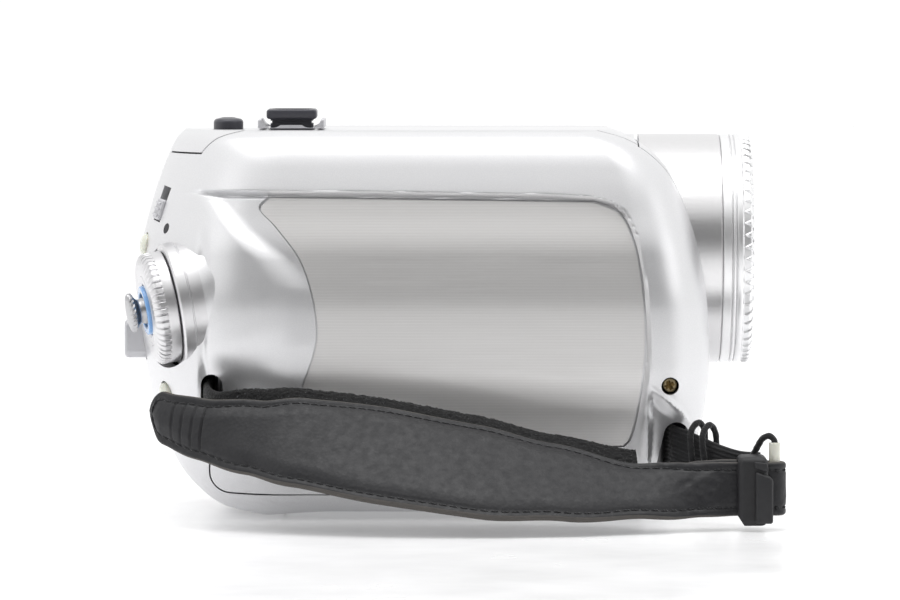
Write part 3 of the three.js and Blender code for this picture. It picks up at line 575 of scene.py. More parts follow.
def braided_cord():
    """A braided cord as a mesh tube: two sets of crossing strands stand out of its skin."""
    line, along = evenly(smooth_line(CORD_ROUTE, 24), CORD_STEP)
    ahead = tangents(line)
    sides = 20
    side = np.cross(ahead[0], (0, 1, 0))
    points = []
    for place, direction, run in zip(line, ahead, along):
        side = side - direction * side.dot(direction)
        side /= np.linalg.norm(side)
        other = np.cross(direction, side)
        for i in range(sides):
            angle = 2 * math.pi * i / sides
            turn = 2 * math.pi * run / STRAND_PITCH
            weave = math.cos(STRANDS * angle + turn) * math.cos(STRANDS * angle - turn)
            radius = CORD_DIAMETER / 2 - 0.05 + 0.05 * weave
            points.append(place + radius * (math.cos(angle) * side + math.sin(angle) * other))
    count = len(line)
    faces = [tuple(range(sides)), tuple(range(count * sides - 1, (count - 1) * sides - 1, -1))]
    faces += tube_faces(count, sides)
    cord = solid("lens_cap_cord", points, faces)
    finish_piece(cord, "root", "webbing", THREAD, "cap_cord", sharp=80)
    bead_profile = rounded_profile([(0.62, BEAD["low"]), (1.0, BEAD["low"]), (1.0, BEAD["high"]),
                                    (0.62, BEAD["high"])], 0.18, 4)
    bead = lathe("ivory_bead", bead_profile, upright(BEAD["x"], BEAD["y"]), 32)
    finish_piece(bead, "root", "ivory_plastic", IVORY, "cord_bead")


braided_cord()

# ---- floor and light

FLOOR_REACH = 3.0
# name, place and aim in metres, width, height and watts
SOFTBOXES = (
    ("top_softbox", (0.0, -0.1, 0.85), (0, 0, 0.03), 0.9, 0.5, 3.2),
    ("left_softbox", (-0.75, -0.5, 0.45), (0, 0, 0.04), 0.4, 0.5, 0.5),
    ("right_softbox", (0.85, -0.3, 0.4), (0, 0, 0.04), 0.4, 0.4, 0.35),
)


def emitter(name, place, aim, width, height, watts):
    data = bpy.data.lights.new(name, "AREA")
    data.shape = "RECTANGLE"
    data.size = width
    data.size_y = height
    data.energy = watts
    lamp = bpy.data.objects.new(name, data)
    scene.collection.objects.link(lamp)
    lamp.location = place
    lamp.rotation_euler = (Vector(aim) - Vector(place)).to_track_quat("-Z", "Y").to_euler()


def studio():
    made = Nodes("pale_floor")
    made.set(Specular_IOR_Level=0.5, Emission_Color=(1, 1, 1, 1), Emission_Strength=0.16)
    made.colour(made.blend(made.noise(6, 2), (0.9, 0.9, 0.91), (0.93, 0.93, 0.935)))
    made.rough(made.spread(made.noise(40, 3), 0.2, 0.28))
    mesh = bpy.data.meshes.new("floor")
    corners = [(x * FLOOR_REACH, y * FLOOR_REACH, 0) for x, y in ((-1, -1), (1, -1), (1, 1), (-1, 1))]
    mesh.from_pydata(corners, [], [(0, 1, 2, 3)])
    floor = link("floor", mesh)
    floor.data.materials.append(made.material)
    make_sky()
    for softbox in SOFTBOXES:
        emitter(*softbox)
    scene.view_settings.view_transform = "Standard"


def make_sky():
    """White studio walls and ceiling, with a dim room on the side of the camera at eye height."""
    world = bpy.data.worlds.new("studio")
    scene.world = world
    world.use_nodes = True
    tree = world.node_tree
    backdrop = tree.nodes["Background"]
    place = add_node(tree, "ShaderNodeTexCoord", "Generated", {})

    def axis(name):
        return add_node(tree, "ShaderNodeSeparateXYZ", name, {"Vector": place})

    def ramp(source, low, high, start, end):
        inputs = {"From Min": low, "From Max": high, "To Min": start, "To Max": end, "Value": source}
        return add_node(tree, "ShaderNodeMapRange", "Result", inputs, interpolation_type="SMOOTHSTEP")

    def brighter(first, second):
        return add_node(tree, "ShaderNodeMath", "Value", {0: first, 1: second}, operation="MAXIMUM")

    above = ramp(axis("Z"), 0.4, 0.75, 0, 1)
    behind = ramp(axis("Y"), -0.75, -0.1, 0, 1)
    level = ramp(brighter(above, behind), 0, 1, 0.16, 1.0)
    seen = add_node(tree, "ShaderNodeLightPath", "Is Camera Ray", {})
    tree.links.new(brighter(level, ramp(seen, 0, 1, 0, 1.05)), backdrop.inputs["Strength"])
    backdrop.inputs["Color"].default_value = (1, 1, 1, 1)


studio()

# ---- outer form of the body

BODY_HEIGHT = 70
# the body's furthest reach to the rear, the front and the right
REAR_END = -55.3
FRONT_END = 48.7
RIGHT_SIDE = 35
# the Y where the right shell meets the left one
RIGHT_SPLIT = -3
# radii of the plan outline's corners, and where the thumb corner starts
REAR_CORNER = 25
CORNER_START = 3
FRONT_CORNER = (12, 14)
LEFT_CORNER = 8
# height, rear end, front end, right half-width, left half-width
BODY_LEVELS = np.array([
    (0, -35, 35, 21, 19), (1.2, -40, 38, 23.5, 21.5), (4, -44, 41.5, 25.5, 23.3), (8, -47.5, 44.2, 27.5, 24),
    (13, -50, 46, 30, 24), (20, -52.5, 47.9, 33, 24), (28, -54, 48.7, 34.6, 24), (38, -55.3, 48.3, 35, 24),
    (48, -54.7, 46.8, 33.6, 24), (56, -52.9, 44.5, 31, 24), (62, -51, 42, 28.8, 24),
    (66, -49.4, 38.5, 27, 23), (68.6, -48, 34.5, 24.8, 21), (BODY_HEIGHT, -46.5, 31, 22, 18.5),
])
# limits of the covers: x0, x1, y0, y1, z0, z1
TOP_COVER = (-FAR, 36, -20, 12, 66, FAR)
FRONT_COVER = (36, FAR, -21, 22, -FAR, FAR)
BASE_COVER = (-28, 30, -18.5, 17, -FAR, 2.4)
# how deep the plate lies, and the deepest that the skin's wall allows
PANEL_DEPTH = 1.15
DEEPEST_RELIEF = 1.8


def smooth_levels(z):
    """Ends and half-widths at heights z: monotone cubic curves through BODY_LEVELS."""
    heights = BODY_LEVELS[:, 0]
    steps = np.diff(heights)
    result = []
    for values in BODY_LEVELS[:, 1:].T:
        rises = np.diff(values) / steps
        slopes = np.empty(len(values))
        slopes[0] = rises[0]
        slopes[-1] = rises[-1]
        same = rises[:-1] * rises[1:] > 0
        middle = 2 * rises[:-1] * rises[1:] / np.where(same, rises[:-1] + rises[1:], 1)
        slopes[1:-1] = np.where(same, middle, 0)
        k = np.clip(np.searchsorted(heights, z) - 1, 0, len(steps) - 1)
        t = (z - heights[k]) / steps[k]
        result.append(
            (2 * t ** 3 - 3 * t ** 2 + 1) * values[k] + (t ** 3 - 2 * t ** 2 + t) * steps[k] * slopes[k]
            + (3 * t ** 2 - 2 * t ** 3) * values[k + 1] + (t ** 3 - t ** 2) * steps[k] * slopes[k + 1]
        )
    return result


def ease(value, low, high):
    t = np.clip((value - low) / (high - low), 0, 1)
    return t * t * (3 - 2 * t)


# The hollow that the brushed plate lies in, drawn on the grip side in X and Z.
HOLLOW_TOP = ((-42, 59.6), (-15, 59.4), (20, 58.9), (27.5, 58.5), (31, 57.6), (33.6, 55.4), (37, 48),
              (40, 40))
HOLLOW_FRONT = ((8, 36.4), (15, 36.6), (19, 36.9), (31, 37.9), (40, 37.6), (50.8, 35.7), (55.5, 33.4),
                (57.6, 31), (58.5, 27.5), (60, 20))
HOLLOW_REAR = ((8, -30), (22, -26), (32, -25), (42, -27), (47.5, -31.4), (52.4, -37), (57.7, -41.6),
               (60, -43))
SCOOP_EDGE = ((34, 25.5), (38.4, 23.4), (43.2, 19.4), (46, 15.5), (50, 9))


def line_at(line, where):
    table = np.array(line, dtype=float)
    return np.interp(where, table[:, 0], table[:, 1])


def relief(x, y, z):
    """How deep the grip side is cut in at a point: the plate's hollow, the strap scoop, the thumb crease."""
    on_side = ease(-y, 10, 19)
    above = line_at(HOLLOW_TOP, x) - z
    ahead = line_at(HOLLOW_FRONT, z) - x
    behind = x - line_at(HOLLOW_REAR, z)
    low = 1 - ease(z, 12, 30)
    top_edge = ease(above, 0, 0.5)
    front_edge = ease(ahead, 0, 0.8 + 2.5 * low)
    spread = 5.4 + 4.5 * (1 - ease(z, 36, 54))
    rear_edge = ease(behind, -0.35 * spread, 0.75 * spread)
    hollow = PANEL_DEPTH * top_edge * front_edge * rear_edge
    crevice = 0.62 * np.exp(-((above - 0.62) / 0.34) ** 2) * front_edge * ease(behind, -4, 1)
    below = line_at(SCOOP_EDGE, x) - z
    ahead_of_plate = ease(x, 37.2, 38.6)
    scoop = 1.3 * ease(below, 0, 2.6) * ahead_of_plate
    ridge = 0.3 * np.exp(-((below + 0.5) / 0.55) ** 2) * ahead_of_plate * ease(z, 13, 17)
    palm = 1.55 * (1 - ease(z, 21, 31 + 0.35 * (x + 43))) * ease(x, -43.6, -42) * (1 - ease(x, -34, -25))
    crease = 0.45 * np.exp(-((x + 42.6) / 0.7) ** 2) * ease(z, 12, 18) * (1 - ease(z, 46, 54))
    depth = hollow + crevice + scoop + palm * ease(z, 10, 15) + crease - ridge
    return on_side * np.minimum(depth, DEEPEST_RELIEF)


# the plan outline's arcs and straights in turn: points, start and end angle
SIDES = ((48, 0, -90), (150, 0, 0), (110, -90, -180), (26, 0, 0), (14, 180, 90), (70, 0, 0), (14, 90, 0),
         (36, 0, 0))


def rear_corner(rear):
    """The thumb corner's radius at a level whose rear end is at rear."""
    return REAR_CORNER - 0.6 * (rear - REAR_END)


def plan_columns(rear, front, right, left, inset):
    """The plan outline at each level, as a table of points: arcs of the four corners and the straights."""
    rear_x = rear_corner(rear) - inset
    rear_y = right - CORNER_START - inset
    front_x = FRONT_CORNER[0] - 0.3 * (FRONT_END - front) - inset
    front_y = FRONT_CORNER[1] - 0.4 * (RIGHT_SIDE - right) - inset
    round_left = LEFT_CORNER - inset
    x0 = rear + inset
    x1 = front - inset
    y0 = inset - right
    y1 = left - inset
    centres = [(x1 - front_x, y0 + front_y, front_x, front_y), (x0 + rear_x, y0 + rear_y, rear_x, rear_y),
               (x0 + round_left, y1 - round_left, round_left, round_left),
               (x1 - round_left, y1 - round_left, round_left, round_left)]
    arcs = []
    for (cx, cy, rx, ry), (count, start, end) in zip(centres, SIDES[::2]):
        angles = np.radians(np.linspace(start, end, count + 1))
        arcs.append((cx[:, None] + np.outer(rx, np.cos(angles)), cy[:, None] + np.outer(ry, np.sin(angles))))
    columns_x = []
    columns_y = []
    for k, (count, _, _) in enumerate(SIDES[1::2]):
        xs, ys = arcs[k]
        next_x, next_y = arcs[(k + 1) % 4]
        columns_x.append(xs)
        columns_y.append(ys)
        share = np.arange(1, count) / count
        columns_x.append(xs[:, -1:] + (next_x[:, :1] - xs[:, -1:]) * share)
        columns_y.append(ys[:, -1:] + (next_y[:, :1] - ys[:, -1:]) * share)
    return np.hstack(columns_x), np.hstack(columns_y)


def body_form(name, inset=0.0, relieved=False, rows=150):
    """The closed outer form, drawn in by inset; relieved adds the shaped hollows of the grip side."""
    low = np.array([0, 0.3, 0.7])
    top = np.array([68.6, 69.1, 69.6, BODY_HEIGHT])
    ledge = np.linspace(56.6, 60, 22) if relieved else []
    z = np.unique(np.concatenate([low, np.linspace(1.2, 68.2, rows), ledge, top]))
    rear, front, right, left = smooth_levels(z)
    xs, ys = plan_columns(rear, front, right, left, inset)
    zs = np.repeat((inset + z * (BODY_HEIGHT - 2 * inset) / BODY_HEIGHT)[:, None], xs.shape[1], axis=1)
    if relieved:
        grid = np.stack([xs, ys, zs], axis=2)
        around = np.roll(grid, -1, axis=1) - np.roll(grid, 1, axis=1)
        up = np.gradient(grid, axis=0)
        normal = np.cross(up, around)
        normal /= np.maximum(np.linalg.norm(normal, axis=2), 1e-9)[:, :, None]
        outward = np.sign((normal[:, :, 0] * xs + normal[:, :, 1] * ys).mean())
        grid -= normal * outward * relief(xs, ys, zs)[:, :, None]
        xs, ys, zs = grid[:, :, 0], grid[:, :, 1], grid[:, :, 2]
    count = xs.shape[1]
    points = np.stack([xs.ravel(), ys.ravel(), zs.ravel()], axis=1).tolist()
    faces = tube_faces(len(z), count)
    for k in (0, len(z) - 1):
        points.append((0, 0, float(zs[k].mean())))
        for i in range(count):
            faces.append((k * count + i, k * count + (i + 1) % count, len(points) - 1))
    return solid(name, points, faces)


def cutter_box(limits, grow=0.0):
    x0, x1, y0, y1, z0, z1 = limits
    return box("cutter", x0 - grow, x1 + grow, y0 - grow, y1 + grow, z0 - grow, z1 + grow)


def cutter_disc(radius, low, high, matrix, segments=64):
    return lathe("cutter", [(0, low), (radius, low), (radius, high), (0, high)], matrix, segments)


RELIEVED = body_form("relieved_form", 0, True)
PLAIN = body_form("plain_form")
INNER = body_form("inner_form", WALL, rows=60)


def skin_piece(name, limits, form=RELIEVED):
    """The part of the moulded skin inside a box."""
    piece = duplicate(form, name)
    meet(piece, cutter_box(limits))
    boolean(piece, INNER, "DIFFERENCE", keep=True)
    return piece


# ---- seats of the rear controls

DIAL = {"x": -48.8, "y": -22, "z": 38.4, "yaw": 12, "droop": 10, "radius": 10.1, "thickness": 4.3}
DIAL_COLLAR = 11.2
COLLAR_FOOT = -4.9
RECORD = {"rear": -57.6, "y": -7, "z": 31.7, "width": 5.2, "height": 7}
MENU_SEAT = {"y": -11, "z": 49, "radius": 2}
DELETE_SEAT = {"y": -19, "z": 22.3, "radius": 2.1}
LAMP_SEAT = {"y": -20, "z": 52.3, "radius": 0.85}
POWER_SEAT = {"y": -15, "z": 56.6, "width": 3.2, "slot": 6.6, "slider": 3.8}


def rear_surface_x(y, z):
    rear, _, right, _ = (float(value) for value in smooth_levels(np.array(float(z))))
    across = max(0, (-y - CORNER_START) / (right - CORNER_START))
    return rear + rear_corner(rear) * (1 - math.sqrt(1 - across * across))


def rear_seat(seat):
    """A frame on the thumb corner, its +Z outward, made as the CAD model makes it."""
    y, z = seat["y"], seat["z"]
    along = (rear_surface_x(y + 1, z) - rear_surface_x(y - 1, z)) / 2
    climb = (rear_surface_x(y, z + 1) - rear_surface_x(y, z - 1)) / 2
    normal = Vector((-1, along, climb)).normalized()
    up = Vector((climb, 0, 1)).normalized()
    return axes(up.cross(normal), up, normal, (rear_surface_x(y, z), y, z))


def facing(origin, normal):
    """A frame whose +Z is normal and whose +X is as near to up as it can be."""
    normal = Vector(normal).normalized()
    across = (Vector((0, 0, 1)) - normal * normal.z).normalized()
    return axes(across, normal.cross(across), normal, origin)


DIAL_NORMAL = Vector((
    -math.cos(math.radians(DIAL["yaw"])) * math.cos(math.radians(DIAL["droop"])),
    -math.sin(math.radians(DIAL["yaw"])) * math.cos(math.radians(DIAL["droop"])),
    -math.sin(math.radians(DIAL["droop"])),
))
DIAL_FRAME = facing((DIAL["x"], DIAL["y"], DIAL["z"]), DIAL_NORMAL)
MENU_FRAME = rear_seat(MENU_SEAT)
DELETE_FRAME = rear_seat(DELETE_SEAT)
LAMP_FRAME = rear_seat(LAMP_SEAT)
POWER_FRAME = rear_seat(POWER_SEAT)
LENS_HEIGHT = 47.9
LENS_FRAME = along_x(0, 0, LENS_HEIGHT)


def local_box(width, depth, low, high, matrix, round_by=0.0, name="cutter"):
    piece = box(name, -width / 2, width / 2, -depth / 2, depth / 2, low, high, round_by)
    return placed(piece, matrix)


# ---- shells, plate and covers

PANEL_LEFT = ((-28.5, 13.6), (-24.4, 24.5), (-21.8, 34), (-24.4, 46.2), (-29.1, 52.8), (-32, 56.2),
              (-30.3, 58.1))
PANEL_RIGHT = ((27.5, 57.3), (32, 55.3), (34.6, 50.2), (36.4, 38.5), (36.3, 28), (33.9, 14.9), (32.8, 13.6))
CARD_DOOR = {"x0": -41.5, "x1": -14, "z0": 4.6, "z1": 12.4, "corner": 3.4, "thickness": 1}
TERMINAL_DOOR = {"y0": 3, "y1": 18, "z0": 7, "z1": 21}
# how far the cutters of the plate and the doors reach, in Y and for the terminal door in X
PANEL_CUT = (-60, -12)
CARD_DOOR_CUT = (-60, -14)
TERMINAL_DOOR_CUT = (38, 60)
SIDE_SCREW = {"x": 41.2, "y": -30.2, "z": 24.6, "radius": 1.3}
BASE_SCREWS = ((-24, 0), (25, -13))
TRIPOD = (12, 0)
MICROPHONE = {"y0": -17, "y1": -4, "z0": 9.5, "z1": 17.5}
ZOOM = {"x": -26.9, "y": -10, "length": 9.1, "neck": 7.7}
SHOT = {"x": -38.5, "y": -10, "radius": 2.7, "top": 72.2}
# the buttons in the screen's bay: name and X, then the Y and Z that they share
BAY_BUTTONS = (("screen_light_button", -12), ("copy_button", 0))
BAY_BUTTON_YZ = (24, 44)
# where the screen's upright hinge pin stands, and its knuckles' radius
HINGE = (40, 29.5)
KNUCKLE = 3.8
DRUM_RADIUS = 21


def panel_outline(scale):
    """The plate's outline in X and Z: smooth curved ends between a straight top and foot."""
    ends = []
    for side in (PANEL_LEFT, PANEL_RIGHT):
        stations = [(x, 0, z) for x, z in side]
        ends.append([(p[0], p[2]) for p in smooth_line(stations, 12)])
    outline = ends[0] + ends[1]
    return [(4 + (x - 4) * scale, 33 + (z - 33) * scale) for x, z in outline]


def card_door_outline(grow):
    d = CARD_DOOR
    return rounded_rectangle(d["x0"] - grow, d["x1"] + grow, d["z0"] - grow, d["z1"] + grow,
                             d["corner"] + grow)


def terminal_door_outline(grow):
    d = TERMINAL_DOOR
    return rounded_rectangle(d["y0"] - grow, d["y1"] + grow, d["z0"] - grow, d["z1"] + grow, 1.2)


def arch(x0, x1, z0, z1):
    """A slot outline with a round top."""
    radius = (x1 - x0) / 2
    middle = (x0 + x1) / 2
    points = [(x0, z0), (x1, z0)]
    steps = 12
    for k in range(steps + 1):
        angle = math.pi * k / steps
        points.append((middle + radius * math.cos(angle), z1 - radius + radius * math.sin(angle)))
    return points


def make_right_shell():
    shell = skin_piece("right_shell_skin", (-FAR, FAR, -FAR, RIGHT_SPLIT, -FAR, FAR))
    pocket = prism("cutter", panel_outline(1.012), *PANEL_CUT)
    pocket_floor = body_form("pocket_floor", PANEL_DEPTH + 0.7, rows=60)
    boolean(pocket, pocket_floor, "DIFFERENCE")
    cut(shell, cutter_box(TOP_COVER, GAP), cutter_box(FRONT_COVER, GAP), cutter_box(BASE_COVER, GAP), pocket)
    cut(shell, prism("cutter", card_door_outline(GAP), *CARD_DOOR_CUT))
    front_slot = [(38.3, 6.8), (45, 6.8), (44.9, 13.5)] + arch(40.2, 44.8, 6.8, 17.8)[2:]
    cut(shell, prism("cutter", front_slot, -FAR, -20))
    cut(shell, prism("cutter", arch(-42.9, -38.9, 14.8, 26.5), -FAR, -20))
    half = RECORD["width"] / 2 + GAP
    tall = RECORD["height"] / 2 + GAP
    cut(shell, cutter_disc(DIAL_COLLAR - 0.2, -9, 12, DIAL_FRAME),
        cutter_box((-FAR, -40, RECORD["y"] - half, RECORD["y"] + half, RECORD["z"] - tall,
                    RECORD["z"] + tall)),
        cutter_disc(MENU_SEAT["radius"] + GAP, -6, 6, MENU_FRAME, 40),
        cutter_disc(DELETE_SEAT["radius"] + GAP, -6, 6, DELETE_FRAME, 40),
        cutter_disc(LAMP_SEAT["radius"] + 0.12, -6, 6, LAMP_FRAME, 32),
        local_box(POWER_SEAT["width"] + 2 * GAP, POWER_SEAT["slot"], -6, 6, POWER_FRAME),
        cutter_disc(SIDE_SCREW["radius"] + GAP, -20, 20,
                    along_y(SIDE_SCREW["x"], SIDE_SCREW["y"], SIDE_SCREW["z"]), 40))
    finish_piece(shell, "root", "silver_shell", SILVER, "right_shell", sharp=28)


def make_side_panel():
    plate = body_form("side_plate", PANEL_DEPTH)
    under = body_form("under_plate", PANEL_DEPTH + 0.6, rows=60)
    meet(plate, prism("cutter", panel_outline(1.0), *PANEL_CUT))
    boolean(plate, under, "DIFFERENCE")
    finish_piece(plate, "root", "brushed_panel", PANEL, "side_panel", sharp=35)


def make_top_cover():
    cover = skin_piece("top_skin", TOP_COVER)
    saddle = lathe("saddle", [(19, 24), (DRUM_RADIUS, 24), (DRUM_RADIUS, 35.6), (19, 35.6)], LENS_FRAME,
                   128)
    join(cover, meet(saddle, cutter_box((20, 36, -14, 11, 66.2, 80))))
    half = ZOOM["neck"] / 2 + GAP
    cut(cover, cutter_box((-FAR, -28.9, -1.9, FAR, 0, FAR)), cutter_box(FRONT_COVER, GAP),
        cutter_box((ZOOM["x"] - half, ZOOM["x"] + half, ZOOM["y"] - 6, ZOOM["y"] + 6, 60, 80)),
        cutter_disc(SHOT["radius"] + GAP, 60, 80, upright(SHOT["x"], SHOT["y"])))
    finish_piece(cover, "root", "silver_shell", SILVER, "top_cover", sharp=28)


def make_front_cover():
    cover = skin_piece("front_skin", FRONT_COVER)
    drum = lathe("drum", [(0, 36.4), (DRUM_RADIUS, 36.4), (DRUM_RADIUS, 50.9), (DRUM_RADIUS - 0.3, 51.2),
                          (0, 51.2)], LENS_FRAME, 128)
    join(cover, drum)
    m = MICROPHONE
    cut(cover, cutter_disc(18.6, 20, 70, LENS_FRAME, 96),
        prism("cutter", terminal_door_outline(GAP), *TERMINAL_DOOR_CUT, "X"),
        cutter_box((30, 60, m["y0"], m["y1"], m["z0"], m["z1"]), GAP),
        cutter_disc(1.95, 30, 60, along_x(0, -9.5, 22.5), 32))
    finish_piece(cover, "root", "silver_shell", SILVER, "front_cover", sharp=28)
    cover.data.materials.append(BARREL)
    for face in cover.data.polygons:
        away = math.hypot(face.center.y, face.center.z - LENS_HEIGHT * MM) / MM
        if DRUM_RADIUS - 0.6 < away < DRUM_RADIUS + 0.1 and face.center.x > 37 * MM:
            face.material_index = 1


def make_base_cover():
    cover = skin_piece("base_skin", BASE_COVER)
    for x, y in BASE_SCREWS:
        cut(cover, cutter_disc(1.8, -1, 4, upright(x, y), 32))
    cut(cover, cutter_disc(5.3, -1, 8, upright(*TRIPOD), 48))
    finish_piece(cover, "root", "silver_shell", SILVER, "base_cover", sharp=28)


def make_left_shell():
    shell = skin_piece("left_shell_skin", (-FAR, FAR, RIGHT_SPLIT + GAP, FAR, -FAR, FAR), PLAIN)
    cut(shell, cutter_box(TOP_COVER, GAP), cutter_box(FRONT_COVER, GAP), cutter_box(BASE_COVER, GAP))
    low, high = box_mm("battery")
    cut(shell, cutter_box((-FAR, high.x + 2.3, -10, high.y + 0.4, low.z - 1.9, 68)))
    cut(shell, cutter_box((-FAR, high.x + 0.7, -10, high.y + 0.4, 60, FAR)))
    for row in range(4):
        cut(shell, prism("cutter", rounded_rectangle(-20, -12, 20 + row * 3, 21.4 + row * 3, 0.69), 20, 30))
    cut(shell, cutter_box((-FAR, -35, 4.4, 15, 6.1, 10.4)))
    for _, x in BAY_BUTTONS:
        cut(shell, cutter_disc(2.8, -6, 6, along_y(x, *BAY_BUTTON_YZ), 40))
    x, y = HINGE
    for z0, z1 in ((22, 27), (43, 48)):
        web = box("web", x - KNUCKLE, x + KNUCKLE, 22.5, y, z0, z1)
        join(web, cutter_disc(KNUCKLE, z0, z1, upright(x, y), 48))
        cut(web, cutter_disc(1.2, z0 - 1, z1 + 1, upright(x, y), 32))
        join(shell, soften(web, 0.3))
    finish_piece(shell, "root", "silver_shell", SILVER, "left_shell", sharp=28)


def make_doors():
    door = duplicate(PLAIN, "card_slot_door")
    meet(door, prism("cutter", card_door_outline(0), *CARD_DOOR_CUT))
    boolean(door, body_form("door_inner", CARD_DOOR["thickness"], rows=60), "DIFFERENCE")
    finish_piece(door, "card_door", "silver_shell", SILVER, "card_door")
    cover = duplicate(PLAIN, "terminal_flap")
    meet(cover, prism("cutter", terminal_door_outline(0), *TERMINAL_DOOR_CUT, "X"))
    boolean(cover, body_form("flap_inner", 1.4, rows=60), "DIFFERENCE")
    finish_piece(cover, "terminal_door", "silver_shell", SILVER, "terminal_door")


make_right_shell()
make_side_panel()
make_top_cover()
make_front_cover()
make_base_cover()
make_left_shell()
make_doors()
for helper in (RELIEVED, PLAIN, INNER):
    bpy.data.objects.remove(helper)

# ---- dial and stick


def make_dial():
    """The mode dial: ridges round the front half of its rim, a smooth band behind them."""
    radius = DIAL["radius"]
    top = DIAL["thickness"]
    ridges = 50

    def ripple(angle, r, height):
        on_rim = float(ease(height, 1.95, 2.15)) * float(ease(r, radius - 1.9, radius - 1.5))
        gap = abs(math.sin(angle * ridges / 2))
        return -0.4 * on_rim * (1 - float(ease(gap, 0.1, 0.62)))

    outline = [(4.75, 0), (radius - 0.2, 0), (radius, 0.2), (radius, 1.8), (radius - 0.04, 1.95),
               (radius, 2.1)]
    outline += [(radius + 0.02, 2.3 + 0.2 * k) for k in range(5)]
    outline += [(radius - 0.12, 3.4), (radius - 0.4, 3.75), (radius - 0.85, 4.05), (radius - 1.4, 4.24),
                (radius - 1.9, top)]
    outline += [(6.6, top), (6.45, top - 0.15), (6.3, top - 0.15), (6.15, top), (5.1, top),
                (4.75, top - 0.35)]
    dial = lathe("mode_dial_knob", outline, DIAL_FRAME, 900, ripple)
    finish_piece(dial, "mode_dial", "silver_shell", DIAL_METAL, "mode_dial", sharp=30)
    collar = [(8, -8), (13.4, -9.2), (12.5, -8.1), (11.95, -7), (11.6, -5.9), (11.42, -4.8), (11.35, -3.6),
              (11.35, -2.6), (11.2, -2.5), (11.2, -2.35), (11.35, -2.2), (11.3, -0.55), (11.05, -0.2),
              (8, -0.2)]
    skirt = lathe("dial_collar_skirt", collar, DIAL_FRAME, 200)
    finish_piece(skirt, "root", "silver_shell", DIAL_METAL, "dial_collar", sharp=30)
    skirt.data.materials.append(SILVER)
    to_dial = DIAL_FRAME.inverted()
    for face in skirt.data.polygons:
        if (to_dial @ (face.center / MM)).z < COLLAR_FOOT:
            face.material_index = 1
    ring = rounded_profile([(3.2, -6), (4.45, -6), (4.45, 4.85), (3.2, 4.85)], 0.3, 4)
    finish_piece(lathe("blue_dial_ring", ring, DIAL_FRAME, 128), "root", "blue_ring", BLUE, "dial_ring")


def make_stick():
    """The stick: a waisted spool whose pale cap has slanting ridges."""
    spool = [(0, -0.9), (1.2, -0.9), (1.2, 2.4), (1.6, 3.2), (2.3, 3.9), (2.5, 4.4), (2.35, 4.9), (2.2, 5.3),
             (2.2, 5.7), (2.4, 6.0), (2.85, 6.3), (3.25, 6.5), (3.42, 6.65), (3.45, 7.05), (3.3, 7.4),
             (2.7, 7.62), (1.2, 7.76), (0, 7.8)]

    def ripple(angle, r, height):
        on_cap = float(ease(height, 6.45, 6.65))
        return 0.14 * math.sin(22 * angle + 6 * height) * on_cap * min(1, r / 3)

    stick = lathe("joystick_spool", rounded_profile(spool, 0.2, 2), DIAL_FRAME, 144, ripple)
    finish_piece(stick, "joystick", "grey_plastic", STICK, "joystick", sharp=40)


# ---- buttons and switches


def make_buttons():
    r = RECORD
    outline = rounded_rectangle(r["y"] - r["width"] / 2, r["y"] + r["width"] / 2, r["z"] - r["height"] / 2,
                                r["z"] + r["height"] / 2, 1.4)
    cap = prism("record_cap", outline, r["rear"], -50.8, "X")
    soften(cap, 0.7, 5)
    finish_piece(cap, "record_button", "grey_plastic", GREY, "record_button")
    caps = (("menu_button", MENU_SEAT, MENU_FRAME), ("delete_button", DELETE_SEAT, DELETE_FRAME))
    for name, seat, matrix in caps:
        radius = seat["radius"]
        profile = [(0, -4), (radius + 0.5, -4), (radius + 0.5, -3.2), (radius, -3.2), (radius, 0.1)]
        profile += [(radius * math.cos(math.radians(a)), 0.1 + 0.85 * math.sin(math.radians(a)))
                    for a in range(12, 84, 12)]
        profile.append((0, 0.95))
        finish_piece(lathe(name + "_cap", profile, matrix, 64), name, "ivory_plastic", IVORY, name)
    dome = [(0, -4), (0.85, -4), (0.85, -0.1), (0.7, 0.02), (0, 0.08)]
    lamp = lathe("access_lamp_lens", dome, LAMP_FRAME, 32)
    finish_piece(lamp, "root", "ivory_plastic", BLACK, "access_lamp")
    width, slider = POWER_SEAT["width"], POWER_SEAT["slider"]
    shift = Matrix.Translation((0, (slider - POWER_SEAT["slot"]) / 2 + GAP, 0))
    knob = local_box(width, slider, -3.5, 0.5, POWER_FRAME @ shift, 0.35, "power_slider")
    for k in range(3):
        ridge = Matrix.Translation((0, -1.1 + 1.1 * k, 0))
        join(knob, local_box(width - 0.8, 0.45, 0.2, 0.85, POWER_FRAME @ shift @ ridge, 0.18, "ridge"))
    finish_piece(knob, "power_switch", "grey_plastic", GREY, "power_switch")
    shot = [(0, 65.6), (3.6, 65.6), (3.6, 66.6), (2.7, 66.6), (2.7, 71.2)]
    shot += [(2.7 - 0.75 * (1 - math.cos(math.radians(a))), 71.2 + 0.75 * math.sin(math.radians(a)))
             for a in range(15, 91, 15)]
    shot += [(1.0, SHOT["top"] - 0.02), (0, SHOT["top"])]
    button = lathe("shot_button_cap", shot, upright(SHOT["x"], SHOT["y"]), 72)
    finish_piece(button, "shot_button", "dark_plastic", DARK, "shot_button")
    for name, x in BAY_BUTTONS:
        profile = [(0, -4), (3, -4), (3, -2.6), (2.5, -2.6), (2.5, -0.1), (2.4, 0.15), (2.1, 0.28),
                   (1.2, 0.22), (0, 0.2)]
        cap = lathe(name + "_cap", profile, along_y(x, *BAY_BUTTON_YZ), 48)
        finish_piece(cap, name, "grey_plastic", GREY, name)


